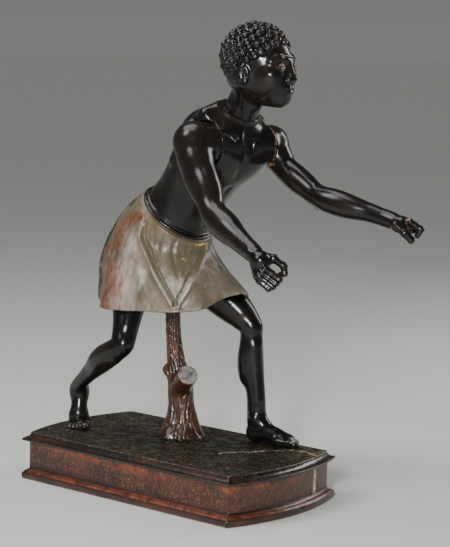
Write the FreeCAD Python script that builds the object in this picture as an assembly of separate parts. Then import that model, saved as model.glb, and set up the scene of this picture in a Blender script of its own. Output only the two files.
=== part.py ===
import FreeCAD, Part
import math
import os

# A carved and ebonised wooden youth striding along an oblong plinth, with a
# painted kilt and a sawn tree trunk that carries the figure.  Millimetres.
# Origin: centre of the plinth's underside.  +X the way the figure strides,
# +Y the figure's left, +Z up.

os.makedirs("parts", exist_ok=True)
V = FreeCAD.Vector

# ---- driving sizes -------------------------------------------------------
PLINTH_STRAIGHT = 280.0        # length of the two straight long sides
PLINTH_WIDTH = 170.0           # over the slab edge
END_BOW = 17.0                 # how far each short end bows outwards
PLINTH_HEIGHT = 48.6
SLAB_UNDER = 40.6              # underside of the top slab
SLAB_FILLET = 1.8              # upright edge below the cove
SLAB_ARRIS_INSET = 7.8         # top arris, in from the slab edge
FRIEZE_INSET = 7.0
BASE_MOULD_HEIGHT = 12.0
PLANK_JOINT_Y = 44.0           # glue line between the two core planks
FILLER_WIDTH = 6.0
FILLER_DEPTH = 20.0

DOWEL_R = 4.0
PIN_R = 1.6
SCREW_R = 2.6
SCREW_HEAD_R = 5.0
SCREW_SINK = 2.0               # head below the plinth's underside
EYE_R = 5.6

WAIST = V(-18, 16, 281)
NECK_BASE = V(59, 16, 388)
HIP_SIDE = V(0.07, 0.997, 0.0)
SHOULDER_SIDE = V(0.229, 0.973, 0.0)
HEAD_CENTRE = V(88, 13, 433)
FACE_TURN = 10.0               # degrees towards the figure's left
RIGHT_SEAM = V(50, -17, 357)
LEFT_SEAM = V(66, 49.5, 355)
SEAT_R = 23.0                  # round flat where an arm is glued on
RIGHT_BOSS_R = 22.0            # chest end that each arm butts against
LEFT_BOSS_R = 19.0
BOSS_LONG = 26.0


# ---- general helpers -----------------------------------------------------
def unit(v):
    return V(v).normalize()


def lerp(a, b, t):
    return a + (b - a) * t


def closed_curve(points):
    curve = Part.BSplineCurve()
    curve.interpolate(Points=points, PeriodicFlag=True)
    return Part.Wire(curve.toShape())


def ring(centre, axis, side, half_side, half_deep, wobble=None, count=12):
    """Closed oval round centre, square to axis; half_side runs along side."""
    axis = unit(axis)
    side = unit(side - axis * side.dot(axis))
    deep = side.cross(axis)
    points = []
    for k in range(count):
        a = 2 * math.pi * k / count
        grow = wobble(a) if wobble else 1.0
        points.append(centre + side * (half_side * grow * math.cos(a))
                      + deep * (half_deep * grow * math.sin(a)))
    return closed_curve(points)


def loft(wires):
    return Part.makeLoft(wires, True, False)


def catmull(p0, p1, p2, p3, t):
    return 0.5 * (2 * p1 + (p2 - p0) * t
                  + (2 * p0 - 5 * p1 + 4 * p2 - p3) * t ** 2
                  + (3 * p1 - p0 - 3 * p2 + p3) * t ** 3)


def eased(stations, spacing=9.0):
    """The same run of stations, evened out along a smooth curve."""
    ends = [stations[0]] + list(stations) + [stations[-1]]
    dense = []
    for k in range(len(stations) - 1):
        for j in range(12):
            dense.append([catmull(*(ends[k + m][c] for m in range(4)), j / 12)
                          for c in range(5)])
    dense.append(list(stations[-1]))
    even = [dense[0]]
    for s in dense[1:]:
        if V(*s[:3]).distanceToPoint(V(*even[-1][:3])) >= spacing:
            even.append(s)
    even[-1] = dense[-1]
    return even


def limb(stations, side):
    """Rounded limb through stations (x, y, z, half deep, half side)."""
    stations = eased(stations)
    centres = [V(*s[:3]) for s in stations]
    wires = []
    for k, s in enumerate(stations):
        axis = centres[min(k + 1, len(centres) - 1)] - centres[max(k - 1, 0)]
        wires.append(ring(centres[k], axis, side, s[4], s[3]))
    return loft(wires)


def ellipsoid(centre, rx, ry, rz, turn=0.0, axis=V(0, 0, 1)):
    ball = Part.makeSphere(1.0)
    m = FreeCAD.Matrix()
    m.scale(rx, ry, rz)
    ball = ball.transformGeometry(m)
    ball.rotate(V(), axis, turn)
    ball.translate(centre)
    return ball


def rod(start, end, radius):
    run = end - start
    return Part.makeCylinder(radius, run.Length, start, run)


def capsule(start, end, r0, r1):
    run = end - start
    body = Part.makeSphere(r0, start)
    if abs(r0 - r1) < 0.01:
        body = body.fuse(Part.makeCylinder(r0, run.Length, start, run))
    else:
        body = body.fuse(Part.makeCone(r0, r1, run.Length, start, run))
    return body.fuse(Part.makeSphere(r1, end))


def fuse_all(shapes):
    body = shapes[0]
    for other in shapes[1:]:
        body = body.fuse(other)
    return body.removeSplitter()


def half_space(point, normal, size=400.0):
    """Big block standing on the plane, on the side normal points to."""
    normal = unit(normal)
    block = Part.makeBox(size, size, size)
    block.translate(V(-size / 2, -size / 2, 0))
    spin = FreeCAD.Rotation(V(0, 0, 1), normal)
    block.Placement = FreeCAD.Placement(point, spin).multiply(block.Placement)
    return block


def largest(shape):
    """Drops the stray shavings that a cut can leave behind."""
    return max(shape.Solids, key=lambda s: s.Volume)


def save(name, shape):
    largest(shape).exportStep("parts/%s.step" % name)


# ---- plinth --------------------------------------------------------------
def plinth_corner(inset):
    radius = (PLINTH_WIDTH ** 2 / 4 + END_BOW ** 2) / (2 * END_BOW)
    middle = PLINTH_STRAIGHT / 2 + END_BOW - radius
    y = PLINTH_WIDTH / 2 - inset
    x = middle + math.sqrt((radius - inset) ** 2 - y ** 2)
    return x, y


def plinth_outline(inset, z):
    """Two straight sides and two bowed ends, set in evenly by inset."""
    x, y = plinth_corner(inset)
    tip = PLINTH_STRAIGHT / 2 + END_BOW - inset
    right = Part.Arc(V(x, -y, z), V(tip, 0, z), V(x, y, z))
    left = Part.Arc(V(-x, y, z), V(-tip, 0, z), V(-x, -y, z))
    return Part.Wire([
        Part.makeLine(V(-x, -y, z), V(x, -y, z)), right.toShape(),
        Part.makeLine(V(x, y, z), V(-x, y, z)), left.toShape()])


def plinth_stack(profile):
    """Solid whose edge follows profile, a list of (inset, z) going up."""
    body = None
    for (i0, z0), (i1, z1) in zip(profile, profile[1:]):
        layer = Part.makeLoft([plinth_outline(i0, z0),
                               plinth_outline(i1, z1)], True, True)
        body = layer if body is None else body.fuse(layer)
    return body.removeSplitter()


def cove(i0, z0, i1, z1, steps=5):
    """Hollow quarter curve from the outer point up and in to the inner."""
    curve = []
    for k in range(steps + 1):
        a = 0.5 * math.pi * k / steps
        curve.append((lerp(i0, i1, math.sin(a)), lerp(z0, z1, 1 - math.cos(a))))
    return curve


def bead(inset, z0, z1, bulge, steps=6):
    """Half-round bead standing out from inset between two heights."""
    curve = []
    for k in range(steps + 1):
        a = math.pi * k / steps
        z = lerp(z0, z1, 0.5 - 0.5 * math.cos(a))
        curve.append((inset - bulge * math.sin(a), z))
    return curve


CRACK = [V(62.8, -12.9, 0), V(73, 3.8, 0), V(81.7, 17.7, 0), V(93, 35.7, 0),
         V(105.4, 50.9, 0), V(108.6, 58.6, 0), V(123, 57.5, 0),
         V(132, 55.6, 0), V(151, 47.4, 0)]


def crack_cutter(width=1.0, depth=2.4):
    """Narrow vee groove that follows the split in the slab's top."""
    cutters = []
    for a, b in zip(CRACK, CRACK[1:]):
        run = unit(b - a)
        across = V(-run.y, run.x, 0) * (width / 2)
        top = V(0, 0, PLINTH_HEIGHT + 0.5)
        deep = V(0, 0, PLINTH_HEIGHT - depth)
        vee = Part.makePolygon([a + top - across, a + top + across,
                                a + deep, a + top - across])
        cutters.append(Part.Face(vee).extrude(b - a))
    return cutters


def plinth_slab():
    edge = cove(0.0, SLAB_UNDER + SLAB_FILLET,
                SLAB_ARRIS_INSET, PLINTH_HEIGHT)
    slab = plinth_stack([(0.0, SLAB_UNDER)] + edge)
    for cutter in crack_cutter():
        slab = slab.cut(cutter)
    return slab


def core_block():
    return plinth_stack([(FRIEZE_INSET, 0.0), (FRIEZE_INSET, SLAB_UNDER)])


def joint_filler():
    """Pale strip let into the opened glue line at the right end."""
    x = PLINTH_STRAIGHT / 2 + END_BOW
    tall = SLAB_UNDER - BASE_MOULD_HEIGHT
    strip = Part.makeBox(2 * FILLER_DEPTH, FILLER_WIDTH, tall,
                         V(x - 2 * FILLER_DEPTH,
                           PLANK_JOINT_Y - FILLER_WIDTH / 2,
                           BASE_MOULD_HEIGHT))
    return strip.common(core_block())


def base_moulding():
    edge = [(0.9, 0.0)] + bead(0.9, 0.6, 7.0, 0.9)
    edge.append((1.8, 7.4))
    edge += cove(1.8, 8.2, FRIEZE_INSET, BASE_MOULD_HEIGHT)
    return plinth_stack(edge).cut(core_block())


def mitre_wedge(across, end_side):
    """Plan wedge that keeps one moulding, cut along the corner mitres."""
    x0, y0 = plinth_corner(0.0)
    x1, y1 = plinth_corner(FRIEZE_INSET)
    slope = (y0 - y1) / (x0 - x1)
    far = 60.0
    inn = 40.0
    outer = (x0 + far, y0 + far * slope)
    inner = (x0 - inn, y0 - inn * slope)
    if end_side:
        pts = [(inner[0], -inner[1]), (outer[0], -outer[1]),
               outer, inner]
    else:
        pts = [(-inner[0], inner[1]), (-outer[0], outer[1]),
               outer, inner]
    pts = [V(across * x if end_side else x, y if end_side else across * y, -1)
           for x, y in pts]
    face = Part.Face(Part.makePolygon(pts + pts[:1]))
    return face.extrude(V(0, 0, BASE_MOULD_HEIGHT + 2))


# ---- tree trunk ----------------------------------------------------------
TRUNK = [(-13, 23, PLINTH_HEIGHT, 22.0), (-14, 23, 60, 16.8),
         (-15, 23, 80, 14.2), (-17, 23, 105, 13.5), (-21, 22, 122, 10.5),
         (-25, 21, 150, 8.6), (-27, 20, 186, 8.4), (-28, 20, 206, 8.4)]


def trunk_ring(x, y, z, radius):
    flare = max(0.0, 1 - (z - PLINTH_HEIGHT) / 40.0)
    lobes = lambda a: 1 + 0.10 * flare * math.cos(5 * a) + 0.03 * math.cos(3 * a)
    return ring(V(x, y, z), V(0, 0, 1), V(1, 0, 0), radius, radius,
                lobes, 20)


def tree_trunk():
    body = loft([trunk_ring(*s) for s in TRUNK])
    right_stub = Part.makeCone(11.0, 9.6, 29, V(-15, 20, 97),
                               V(0.70, -0.36, 0.62))
    left_stub = Part.makeCone(8.0, 6.4, 22, V(-18, 22, 105),
                              V(-0.60, -0.30, 0.74))
    return fuse_all([body, right_stub, left_stub])


# ---- kilt ----------------------------------------------------------------
# (centre x, y, z, forward tilt, half length, half width)
KILT = [(-18, 16, 281, 38, 41.0, 40.0), (-26, 16, 272.5, 31, 46.5, 43.0),
        (-35, 16, 257, 20, 55.5, 46.5), (-35, 16, 230, 9, 73.0, 54.0),
        (-28, 16, 205, 0, 82.0, 61.0), (-24, 16, 186.5, -3, 86.0, 65.0)]


def tilted_ring(x, y, z, tilt, half_long, half_wide):
    a = math.radians(tilt)
    axis = V(math.sin(a), 0, math.cos(a))
    return ring(V(x, y, z), axis, V(0, 1, 0), half_wide, half_long, None, 16)


def kilt_block():
    body = loft([tilted_ring(*s) for s in KILT])
    hollow_top = (KILT[-1][0], 16, KILT[-1][2] + 8, -3, 76.0, 55.0)
    hollow_low = (KILT[-1][0], 16, KILT[-1][2] - 6, -3, 80.0, 58.0)
    return body.cut(loft([tilted_ring(*hollow_top),
                          tilted_ring(*hollow_low)]))


# ---- torso ---------------------------------------------------------------
# (part of the way from waist to neck, half width, half depth, set forward)
TORSO = [(-0.10, 36.0, 35.0, 0.0), (0.0, 37.0, 37.0, 0.0),
         (0.20, 35.5, 34.5, 1.0), (0.42, 39.5, 35.5, 2.5),
         (0.62, 44.0, 38.0, 4.5), (0.78, 43.0, 36.0, 4.0),
         (0.90, 38.5, 28.0, 0.5), (0.99, 26.5, 19.5, 0.0),
         (1.07, 17.5, 16.5, 1.5)]


def spine_frame(t):
    lean = unit(NECK_BASE - WAIST)
    side = unit(lerp(HIP_SIDE, SHOULDER_SIDE, min(1.0, max(0.0, t / 0.8))))
    side = unit(side - lean * side.dot(lean))
    return lean, side, side.cross(lean)


def torso_block():
    wires = []
    for t, half_wide, half_deep, ahead in TORSO:
        lean, side, front = spine_frame(t)
        centre = lerp(WAIST, NECK_BASE, t) + front * ahead
        wires.append(ring(centre, lean, side, half_wide, half_deep, None, 14))
    return fuse_all([loft(wires)] + shoulder_bosses())


def shoulder_bosses():
    """Stumps that bring the chest out to meet each arm's round end."""
    out = unit(SHOULDER_SIDE)
    return [Part.makeCone(19, RIGHT_BOSS_R, BOSS_LONG,
                          RIGHT_SEAM + out * BOSS_LONG, out * -1),
            Part.makeCone(18, LEFT_BOSS_R, BOSS_LONG,
                          LEFT_SEAM - out * BOSS_LONG, out)]


# ---- head ----------------------------------------------------------------
def head_point(forward, left, up):
    a = math.radians(FACE_TURN)
    return HEAD_CENTRE + V(forward * math.cos(a) - left * math.sin(a),
                           forward * math.sin(a) + left * math.cos(a), up)


def head_block():
    """Skull, jaw and plain face features on ordinary proportions."""
    turn = FACE_TURN
    solids = [
        ellipsoid(head_point(-5, 0, 11), 36, 31.5, 32, turn),
        ellipsoid(head_point(11, 0, -6), 25, 25.5, 33, turn),
        ellipsoid(head_point(19, 0, -29), 12, 14, 11, turn),
        ellipsoid(head_point(-9, 0, -8), 27, 29, 24, turn),
        limb([(60, 16, 386, 17, 17), (66, 16, 396, 16, 16),
              (75, 15, 408, 16, 16), (84, 14, 422, 19, 18)], V(0, 1, 0)),
        capsule(head_point(34, 0, 3), head_point(38, 0, -8), 2.4, 4.0),
        ellipsoid(head_point(35, 0, -8.5), 4.0, 6.5, 3.0, turn),
        ellipsoid(head_point(31, 0, -18), 5.0, 9.5, 3.0, turn),
        ellipsoid(head_point(30, 0, -23), 4.6, 8.0, 3.0, turn),
    ]
    for left in (-1, 1):
        ear = ellipsoid(V(), 6.0, 2.6, 9.5)
        ear.rotate(V(), V(0, 0, 1), turn - left * 18)
        ear.translate(head_point(-2, left * 29.0, -7))
        solids.append(ear)
        brow = head_point(28.5, left * 11.5, 7)
        solids.append(ellipsoid(brow, 4.2, 7.5, 2.6, turn - left * 18))
    return fuse_all(solids)


def eye_ball(left):
    return Part.makeSphere(EYE_R, head_point(27.5, left * 11.5, 0))


# ---- arms ----------------------------------------------------------------
RIGHT_ARM = [(46, -35, 359, 20, 19.5), (50.5, -38, 348, 19.5, 18.5),
             (57, -42, 338, 18.5, 17), (70, -48, 321, 15.5, 15),
             (84, -54, 304, 13.5, 13), (94, -58, 293, 13.2, 13),
             (105, -61, 286.5, 13.7, 13), (118, -65, 281, 13.2, 12),
             (138, -71, 272, 10.8, 10), (157, -76.5, 264, 9.2, 8.5)]
LEFT_ARM = [(64.5, 62, 356.3, 17.2, 17.2), (71, 61.5, 347.1, 15.9, 15.6),
            (84, 60, 333.8, 12.8, 12.5), (100.1, 57.5, 324.9, 12, 11.8),
            (125.7, 53, 311.5, 11.4, 11.2), (140.8, 50.5, 306.6, 11.6, 11.3),
            (151, 51, 304.3, 12.2, 11.6), (166, 53.5, 301.1, 11.4, 10.9),
            (190, 59, 296, 9.5, 8.9), (214, 63.5, 289.6, 8.2, 8)]


def arm_block(stations, seam, outward):
    top = V(*stations[0][:3])
    radius = stations[0][3]
    solids = [limb(stations, outward),
              Part.makeSphere(radius + 0.4, top),
              Part.makeCone(radius + 1.5, radius - 0.6,
                            (top - seam).Length + 2, seam - outward * 2,
                            top - seam)]
    return fuse_all(solids).common(half_space(seam, outward))


def shoulder_seat(seam, outward, reach=60.0):
    """Drum that leaves a round flat on the torso for an arm to sit on."""
    return Part.makeCylinder(SEAT_R, reach, seam, outward)


def finger(knuckle, bend, tip, r0, r1):
    return [capsule(knuckle, bend, r0, r0 - 0.3),
            capsule(bend, tip, r0 - 0.2, r1)]


# knuckle, middle joint, tip and radius, forefinger first
RIGHT_FINGERS = [
    (V(178.1, -84.0, 252.4), V(189.0, -76.2, 242.2), V(182.2, -66.5, 245.2), 2.9),
    (V(176.3, -86.0, 248.8), V(187.7, -79.1, 238.9), V(179.0, -69.7, 241.8), 2.9),
    (V(174.8, -88.0, 244.7), V(186.0, -81.9, 235.7), V(176.4, -73.8, 238.6), 2.8),
    (V(174.6, -88.2, 240.6), V(183.1, -84.3, 233.4), V(174.2, -77.4, 236.4), 2.5)]
RIGHT_THUMB = [V(168, -78, 262), V(178.9, -72.3, 260.2),
               V(185.6, -66.3, 253.5), V(187.4, -66.4, 246.5)]


def right_hand():
    """Closed hand whose thumb and forefinger make an open ring."""
    solids = [capsule(V(153, -75.5, 266), V(171, -81.5, 258), 7.6, 8.8),
              capsule(V(170.5, -81, 257.5), V(171.5, -82.5, 245), 9.0, 7.4)]
    for knuckle, bend, tip, radius in RIGHT_FINGERS:
        solids += finger(knuckle, bend, tip, radius, radius - 0.5)
    for k, (a, b) in enumerate(zip(RIGHT_THUMB, RIGHT_THUMB[1:])):
        solids.append(capsule(a, b, 4.4 - 0.5 * k, 3.9 - 0.5 * k))
    return fuse_all(solids)


LEFT_FOREFINGER = (V(237.4, 61.0, 290.6), V(246.2, 66.7, 283.6),
                   V(243.4, 64.8, 277.4))
LEFT_FINGER_STEP = V(-2.9, 4.5, -0.7)
LEFT_THUMB = [V(227.0, 52.5, 287.0), V(236.2, 54.0, 280.3),
              V(241.2, 58.0, 273.6)]


def left_hand():
    """Closed hand bent down at the wrist, thumb hanging below."""
    solids = [capsule(V(209, 63, 291), V(228, 61.5, 287), 7.6, 8.2),
              capsule(V(227, 62, 286.5), V(233, 68, 285), 8.0, 7.6)]
    for k in range(4):
        knuckle, bend, tip = [p + LEFT_FINGER_STEP * k
                              for p in LEFT_FOREFINGER]
        solids += finger(knuckle, bend, tip, 3.5 - 0.15 * k, 2.8)
        solids.append(capsule(V(229, 63, 286) + LEFT_FINGER_STEP * (0.6 * k),
                              knuckle, 6.4, 3.6 - 0.15 * k))
    for k, (a, b) in enumerate(zip(LEFT_THUMB, LEFT_THUMB[1:])):
        solids.append(capsule(a, b, 4.6 - 0.6 * k, 4.0 - 0.5 * k))
    return fuse_all(solids)


# ---- legs ----------------------------------------------------------------
RIGHT_LEG = [(-45, -11, 226, 19, 18.5), (-46, -15, 209, 18.6, 18),
             (-47.5, -23, 188, 17.2, 16.8), (-42, -34, 168, 13.8, 13.4),
             (-39.5, -42, 150, 12.4, 12), (-50.5, -43, 140.5, 11.9, 11.7),
             (-72, -37.5, 128.5, 12, 11.6), (-92, -31, 115, 9.2, 8.9),
             (-107.5, -26, 103.5, 7.8, 7.6), (-119, -21.5, 94.5, 8.2, 7.8),
             (-125.5, -17, 88, 8.4, 7.8)]
LEFT_LEG = [(-30, 43, 222, 22, 20), (-13, 45, 212, 22, 20.5),
            (5, 49.5, 200.5, 20.7, 20), (22.5, 56, 187, 19.2, 18.4),
            (36.5, 59, 175.8, 15.4, 15), (45, 60, 166, 12.6, 12.2),
            (47, 60, 153, 11.4, 11.2), (47.8, 60, 136, 12.4, 12),
            (49.6, 60, 121, 12, 11.6), (54, 59.5, 105, 9.9, 9.5),
            (57.4, 59, 87, 8.9, 8.7), (58, 59, 70, 9.2, 9)]


def above_ground(body):
    below = Part.makeBox(400, 400, 100, V(-200, -200, PLINTH_HEIGHT - 100))
    return body.cut(below)


def toes(ball, ahead, across, pitch=4.9, scale=1.0, count=5):
    """Row of toes in front of the ball of the foot, big toe first."""
    solids = []
    for k in range(count):
        radius = (4.6, 3.5, 3.3, 3.1, 2.9)[k] * scale
        reach = (15, 14.5, 12.5, 10, 7)[k]
        base = ball + across * (pitch * (k - 1.94))
        base = V(base.x, base.y, PLINTH_HEIGHT + radius - 0.5 - 0.1 * k)
        fan = across * (0.4 * k - 0.7) + V(0, 0, -0.3)
        tip = base + ahead * reach + fan
        solids.append(capsule(base, tip, radius, radius - 0.3))
    return solids


def left_foot():
    ahead = unit(V(58.3, 13.5, 0))
    outward = V(-ahead.y, ahead.x, 0)
    solids = [
        ellipsoid(V(57, 58.5, 58.5), 10.8, 9.6, 11, 13),
        ellipsoid(V(71, 61.7, 57), 20, 10.8, 9.9, 13),
        ellipsoid(V(86, 65.6, 54), 13.5, 13.4, 7.0, 13),
        capsule(V(58, 59, 72), V(73, 62, 58), 9.8, 7.8)]
    solids += toes(V(89.3, 66.2, 0), ahead, outward)
    return above_ground(fuse_all(solids))


def right_foot():
    ahead = unit(V(0.6, -0.8, 0))
    outward = V(-ahead.y, ahead.x, 0) * -1
    solids = [
        ellipsoid(V(-130, -10.5, 84), 9.0, 8.8, 11.6),
        capsule(V(-126, -14.5, 86), V(-120, -21.5, 64), 9.3, 9.0),
        ellipsoid(V(-119.5, -22, 59), 9.2, 11.6, 11.8, -37)]
    solids += toes(V(-118.5, -23, 0), ahead, outward, 3.8, 0.85)
    return above_ground(fuse_all(solids))


# ---- hidden dowels, pins and screws -------------------------------------
DOWELS = {
    "neck_dowel": (V(50, 16, 374), V(74, 15.3, 406)),
    "right_shoulder_dowel": (V(55, 3, 357), V(47, -30, 357)),
    "left_shoulder_dowel": (V(62, 33, 355.5), V(69, 63, 355)),
    "waist_dowel": (V(-28, 16, 263), V(-8, 16, 295)),
    "right_hip_dowel": (V(-44, -12, 240), V(-40.5, -26, 203)),
    "left_hip_dowel": (V(-38, 41, 243), V(-6, 49.5, 218)),
    "trunk_top_dowel": (V(-23, 20.5, 182), V(-26, 19.5, 228)),
}
PINS = {
    "front_foot_pin": (V(60, 59.5, 20), V(60, 59.5, 72)),
    "rear_foot_pin": (V(-119, -22.5, 22), V(-119, -22.5, 66)),
}


def screw_blank():
    x, y = TRUNK[0][:2]
    head = Part.makeCone(SCREW_HEAD_R, SCREW_R, 3.4, V(x, y, SCREW_SINK))
    shank = Part.makeCylinder(SCREW_R, 88, V(x, y, SCREW_SINK + 3.4))
    tip = Part.makeCone(SCREW_R, 0.4, 5, V(x, y, SCREW_SINK + 91.4))
    return fuse_all([head, shank, tip])


def trunk_screw():
    """Countersunk wood screw driven up through the plinth."""
    x, y = TRUNK[0][:2]
    slot = Part.makeBox(2 * SCREW_HEAD_R, 1.2, 1.2,
                        V(x - SCREW_HEAD_R, y - 0.6, SCREW_SINK))
    return screw_blank().cut(slot)


def screw_well():
    x, y = TRUNK[0][:2]
    return Part.makeCylinder(SCREW_HEAD_R, SCREW_SINK, V(x, y, 0))


# ---- assembly ------------------------------------------------------------
def cut_with(body, cutters):
    for cutter in cutters:
        body = body.cut(cutter)
    return body


def main():
    rods = {name: rod(a, b, DOWEL_R) for name, (a, b) in DOWELS.items()}
    rods.update({name: rod(a, b, PIN_R) for name, (a, b) in PINS.items()})
    rods_in = lambda *names: [rods[n] for n in names]
    out_right = unit(SHOULDER_SIDE) * -1
    out_left = unit(SHOULDER_SIDE)

    slab = plinth_slab()
    core = core_block()
    filler = joint_filler()
    trunk = tree_trunk()
    kilt = kilt_block()
    torso = torso_block()
    head = head_block()
    right_arm = fuse_all([arm_block(RIGHT_ARM, RIGHT_SEAM, out_right),
                          right_hand()])
    left_arm = fuse_all([arm_block(LEFT_ARM, LEFT_SEAM, out_left),
                         left_hand()])
    right_leg = fuse_all([limb(RIGHT_LEG, V(0, 1, 0)), right_foot()])
    left_leg = fuse_all([limb(LEFT_LEG, V(0, 1, 0)), left_foot()])

    # seams: flat at the shoulders and neck, sockets in the kilt block
    torso = torso.cut(shoulder_seat(RIGHT_SEAM, out_right))
    torso = torso.cut(shoulder_seat(LEFT_SEAM, out_left))
    right_arm = right_arm.cut(torso)
    left_arm = left_arm.cut(torso)
    neck_plane = lerp(WAIST, NECK_BASE, 1.02)
    torso = torso.cut(half_space(neck_plane, NECK_BASE - WAIST))
    head = head.cut(half_space(neck_plane, WAIST - NECK_BASE))
    right_leg = right_leg.cut(left_leg)
    kilt = cut_with(kilt, [torso, right_leg, left_leg, trunk])
    eyes = {"right_eye": eye_ball(-1), "left_eye": eye_ball(1)}

    save("plinth_top", cut_with(slab, rods_in("front_foot_pin",
                                              "rear_foot_pin")
                                + [screw_blank()]))
    core = cut_with(core, [filler, screw_well(), screw_blank()]
                    + rods_in("front_foot_pin", "rear_foot_pin"))
    rear = half_space(V(0, PLANK_JOINT_Y, 0), V(0, 1, 0))
    save("core_rear_plank", core.common(rear))
    save("core_front_plank", core.cut(rear))
    save("joint_filler", filler)
    ring_mould = base_moulding()
    for name, across, end in (("base_moulding_right_end", 1, True),
                              ("base_moulding_left_end", -1, True),
                              ("base_moulding_rear", 1, False),
                              ("base_moulding_front", -1, False)):
        save(name, ring_mould.common(mitre_wedge(across, end)))

    save("tree_trunk", cut_with(trunk, rods_in("trunk_top_dowel")
                                + [screw_blank()]))
    save("trunk_screw", trunk_screw())
    save("kilt", cut_with(kilt, rods_in("waist_dowel", "right_hip_dowel",
                                        "left_hip_dowel",
                                        "trunk_top_dowel")))
    save("torso", cut_with(torso, rods_in("waist_dowel", "neck_dowel",
                                          "right_shoulder_dowel",
                                          "left_shoulder_dowel")))
    save("head", cut_with(head, rods_in("neck_dowel")
                          + list(eyes.values())))
    save("right_arm", cut_with(right_arm, rods_in("right_shoulder_dowel")))
    save("left_arm", cut_with(left_arm, rods_in("left_shoulder_dowel")))
    save("right_leg", cut_with(right_leg, rods_in("right_hip_dowel",
                                                  "rear_foot_pin")))
    save("left_leg", cut_with(left_leg, rods_in("left_hip_dowel",
                                                "front_foot_pin")))
    for name, shape in list(rods.items()) + list(eyes.items()):
        save(name, shape)


main()
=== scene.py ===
import math

import bpy
import numpy as np
import openvdb
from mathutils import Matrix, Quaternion, Vector


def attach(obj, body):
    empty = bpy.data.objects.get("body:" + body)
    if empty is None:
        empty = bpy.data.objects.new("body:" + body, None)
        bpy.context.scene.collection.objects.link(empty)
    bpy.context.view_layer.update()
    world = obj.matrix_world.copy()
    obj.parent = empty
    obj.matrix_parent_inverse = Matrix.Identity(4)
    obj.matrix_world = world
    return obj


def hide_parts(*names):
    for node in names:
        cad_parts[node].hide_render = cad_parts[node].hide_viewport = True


# A carved and ebonised youth striding along an oblong plinth.  Shapes are
# worked in millimetres, in the row's own frame, and handed over in metres.

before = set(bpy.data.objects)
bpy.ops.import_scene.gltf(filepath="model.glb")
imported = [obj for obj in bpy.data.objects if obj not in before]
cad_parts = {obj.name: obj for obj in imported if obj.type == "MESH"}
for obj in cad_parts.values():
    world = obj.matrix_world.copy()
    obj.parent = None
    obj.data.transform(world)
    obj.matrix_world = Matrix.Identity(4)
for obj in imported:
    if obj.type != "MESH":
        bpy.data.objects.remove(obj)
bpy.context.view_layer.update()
MM = 0.001
FAR = 9.0                      # distance stored where clay is empty

# ---- sizes shared by the pieces -------------------------------------------
GROUND_Z = 48.6
SLAB_UNDER_Z = 40.6
HALF_STRAIGHT, HALF_WIDTH, END_BOW = 140.0, 85.0, 17.0
ARRIS_INSET = 7.8

WAIST = np.array((-18.0, 16.0, 281.0))
NECK_BASE = np.array((59.0, 16.0, 388.0))
NECK_SEAM = 1.02               # where head and torso meet, along the spine
HEAD_CENTRE = np.array((88.0, 13.0, 433.0))
FACE_TURN = math.radians(10)
RIGHT_SEAM = np.array((50.0, -17.0, 357.0))
LEFT_SEAM = np.array((66.0, 49.5, 355.0))
SEAT_R = 23.0


# ---- small maths ----------------------------------------------------------
def vec(*v):
    return np.array(v, float)


def unit(v):
    v = np.asarray(v, float)
    return v / np.linalg.norm(v)


def unit_rows(rows):
    return rows / np.maximum(np.linalg.norm(rows, axis=1, keepdims=True), 1e-9)


def blend_min(a, b, k):
    if k <= 0:
        return np.minimum(a, b)
    h = np.clip(0.5 + 0.5 * (b - a) / k, 0, 1)
    return b + (a - b) * h - k * h * (1 - h)


def smooth(x, low, high):
    t = np.clip((x - low) / (high - low), 0, 1)
    return t * t * (3 - 2 * t)


def catmull(p, t):
    p0, p1, p2, p3 = p
    return 0.5 * (2 * p1 + (p2 - p0) * t + (2 * p0 - 5 * p1 + 4 * p2 - p3) * t ** 2
                  + (3 * p1 - p0 - 3 * p2 + p3) * t ** 3)


def eased(rows, steps=6):
    """Rows of numbers, with smooth in-between rows added."""
    rows = np.asarray(rows, float)
    ends = np.vstack([rows[:1], rows, rows[-1:]])
    made = [catmull(ends[k:k + 4], j / steps)
            for k in range(len(rows) - 1) for j in range(steps)]
    return np.array(made + [rows[-1]])


def value_noise(p, size, seed=0):
    """Smooth noise from -1 to 1 at points p, with features of that size."""
    p = np.asarray(p, float) / np.asarray(size, float)
    cell = np.floor(p).astype(np.int64)
    part = p - cell
    part = part * part * (3 - 2 * part)
    total = np.zeros(p.shape[:-1])
    for corner in range(8):
        bit = np.array([corner & 1, corner >> 1 & 1, corner >> 2 & 1])
        c = cell + bit
        h = (c[..., 0] * 73856093 ^ c[..., 1] * 19349663
             ^ c[..., 2] * 83492791 ^ (seed * 9973 + 1013))
        h = (h ^ (h >> 13)) * 1274126177 & 0x7FFFFFFF
        h = (h ^ (h >> 16)) % 65536 / 32767.5 - 1
        total += h * np.prod(np.where(bit, part, 1 - part), axis=-1)
    return total


# ---- clay: solid shapes held as signed distances --------------------------
def bone(a, b, ra, rb, side=None, thin=1.0):
    """Tapered rod with round ends; thin > 1 flattens it along side."""
    a, b = np.asarray(a, float), np.asarray(b, float)
    run = b - a
    square_run = max(run.dot(run), 1e-6)

    def distance(x, y, z):
        x, y, z = x - a[0], y - a[1], z - a[2]
        t = np.clip((x * run[0] + y * run[1] + z * run[2]) / square_run, 0, 1)
        x, y, z = x - t * run[0], y - t * run[1], z - t * run[2]
        square = x * x + y * y + z * z
        if side is not None:
            across = x * side[0] + y * side[1] + z * side[2]
            square = square + (thin * thin - 1) * across * across
        return np.sqrt(square) - (ra + (rb - ra) * t)
    return np.minimum(a - ra, b - rb), np.maximum(a + ra, b + rb), distance


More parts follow.
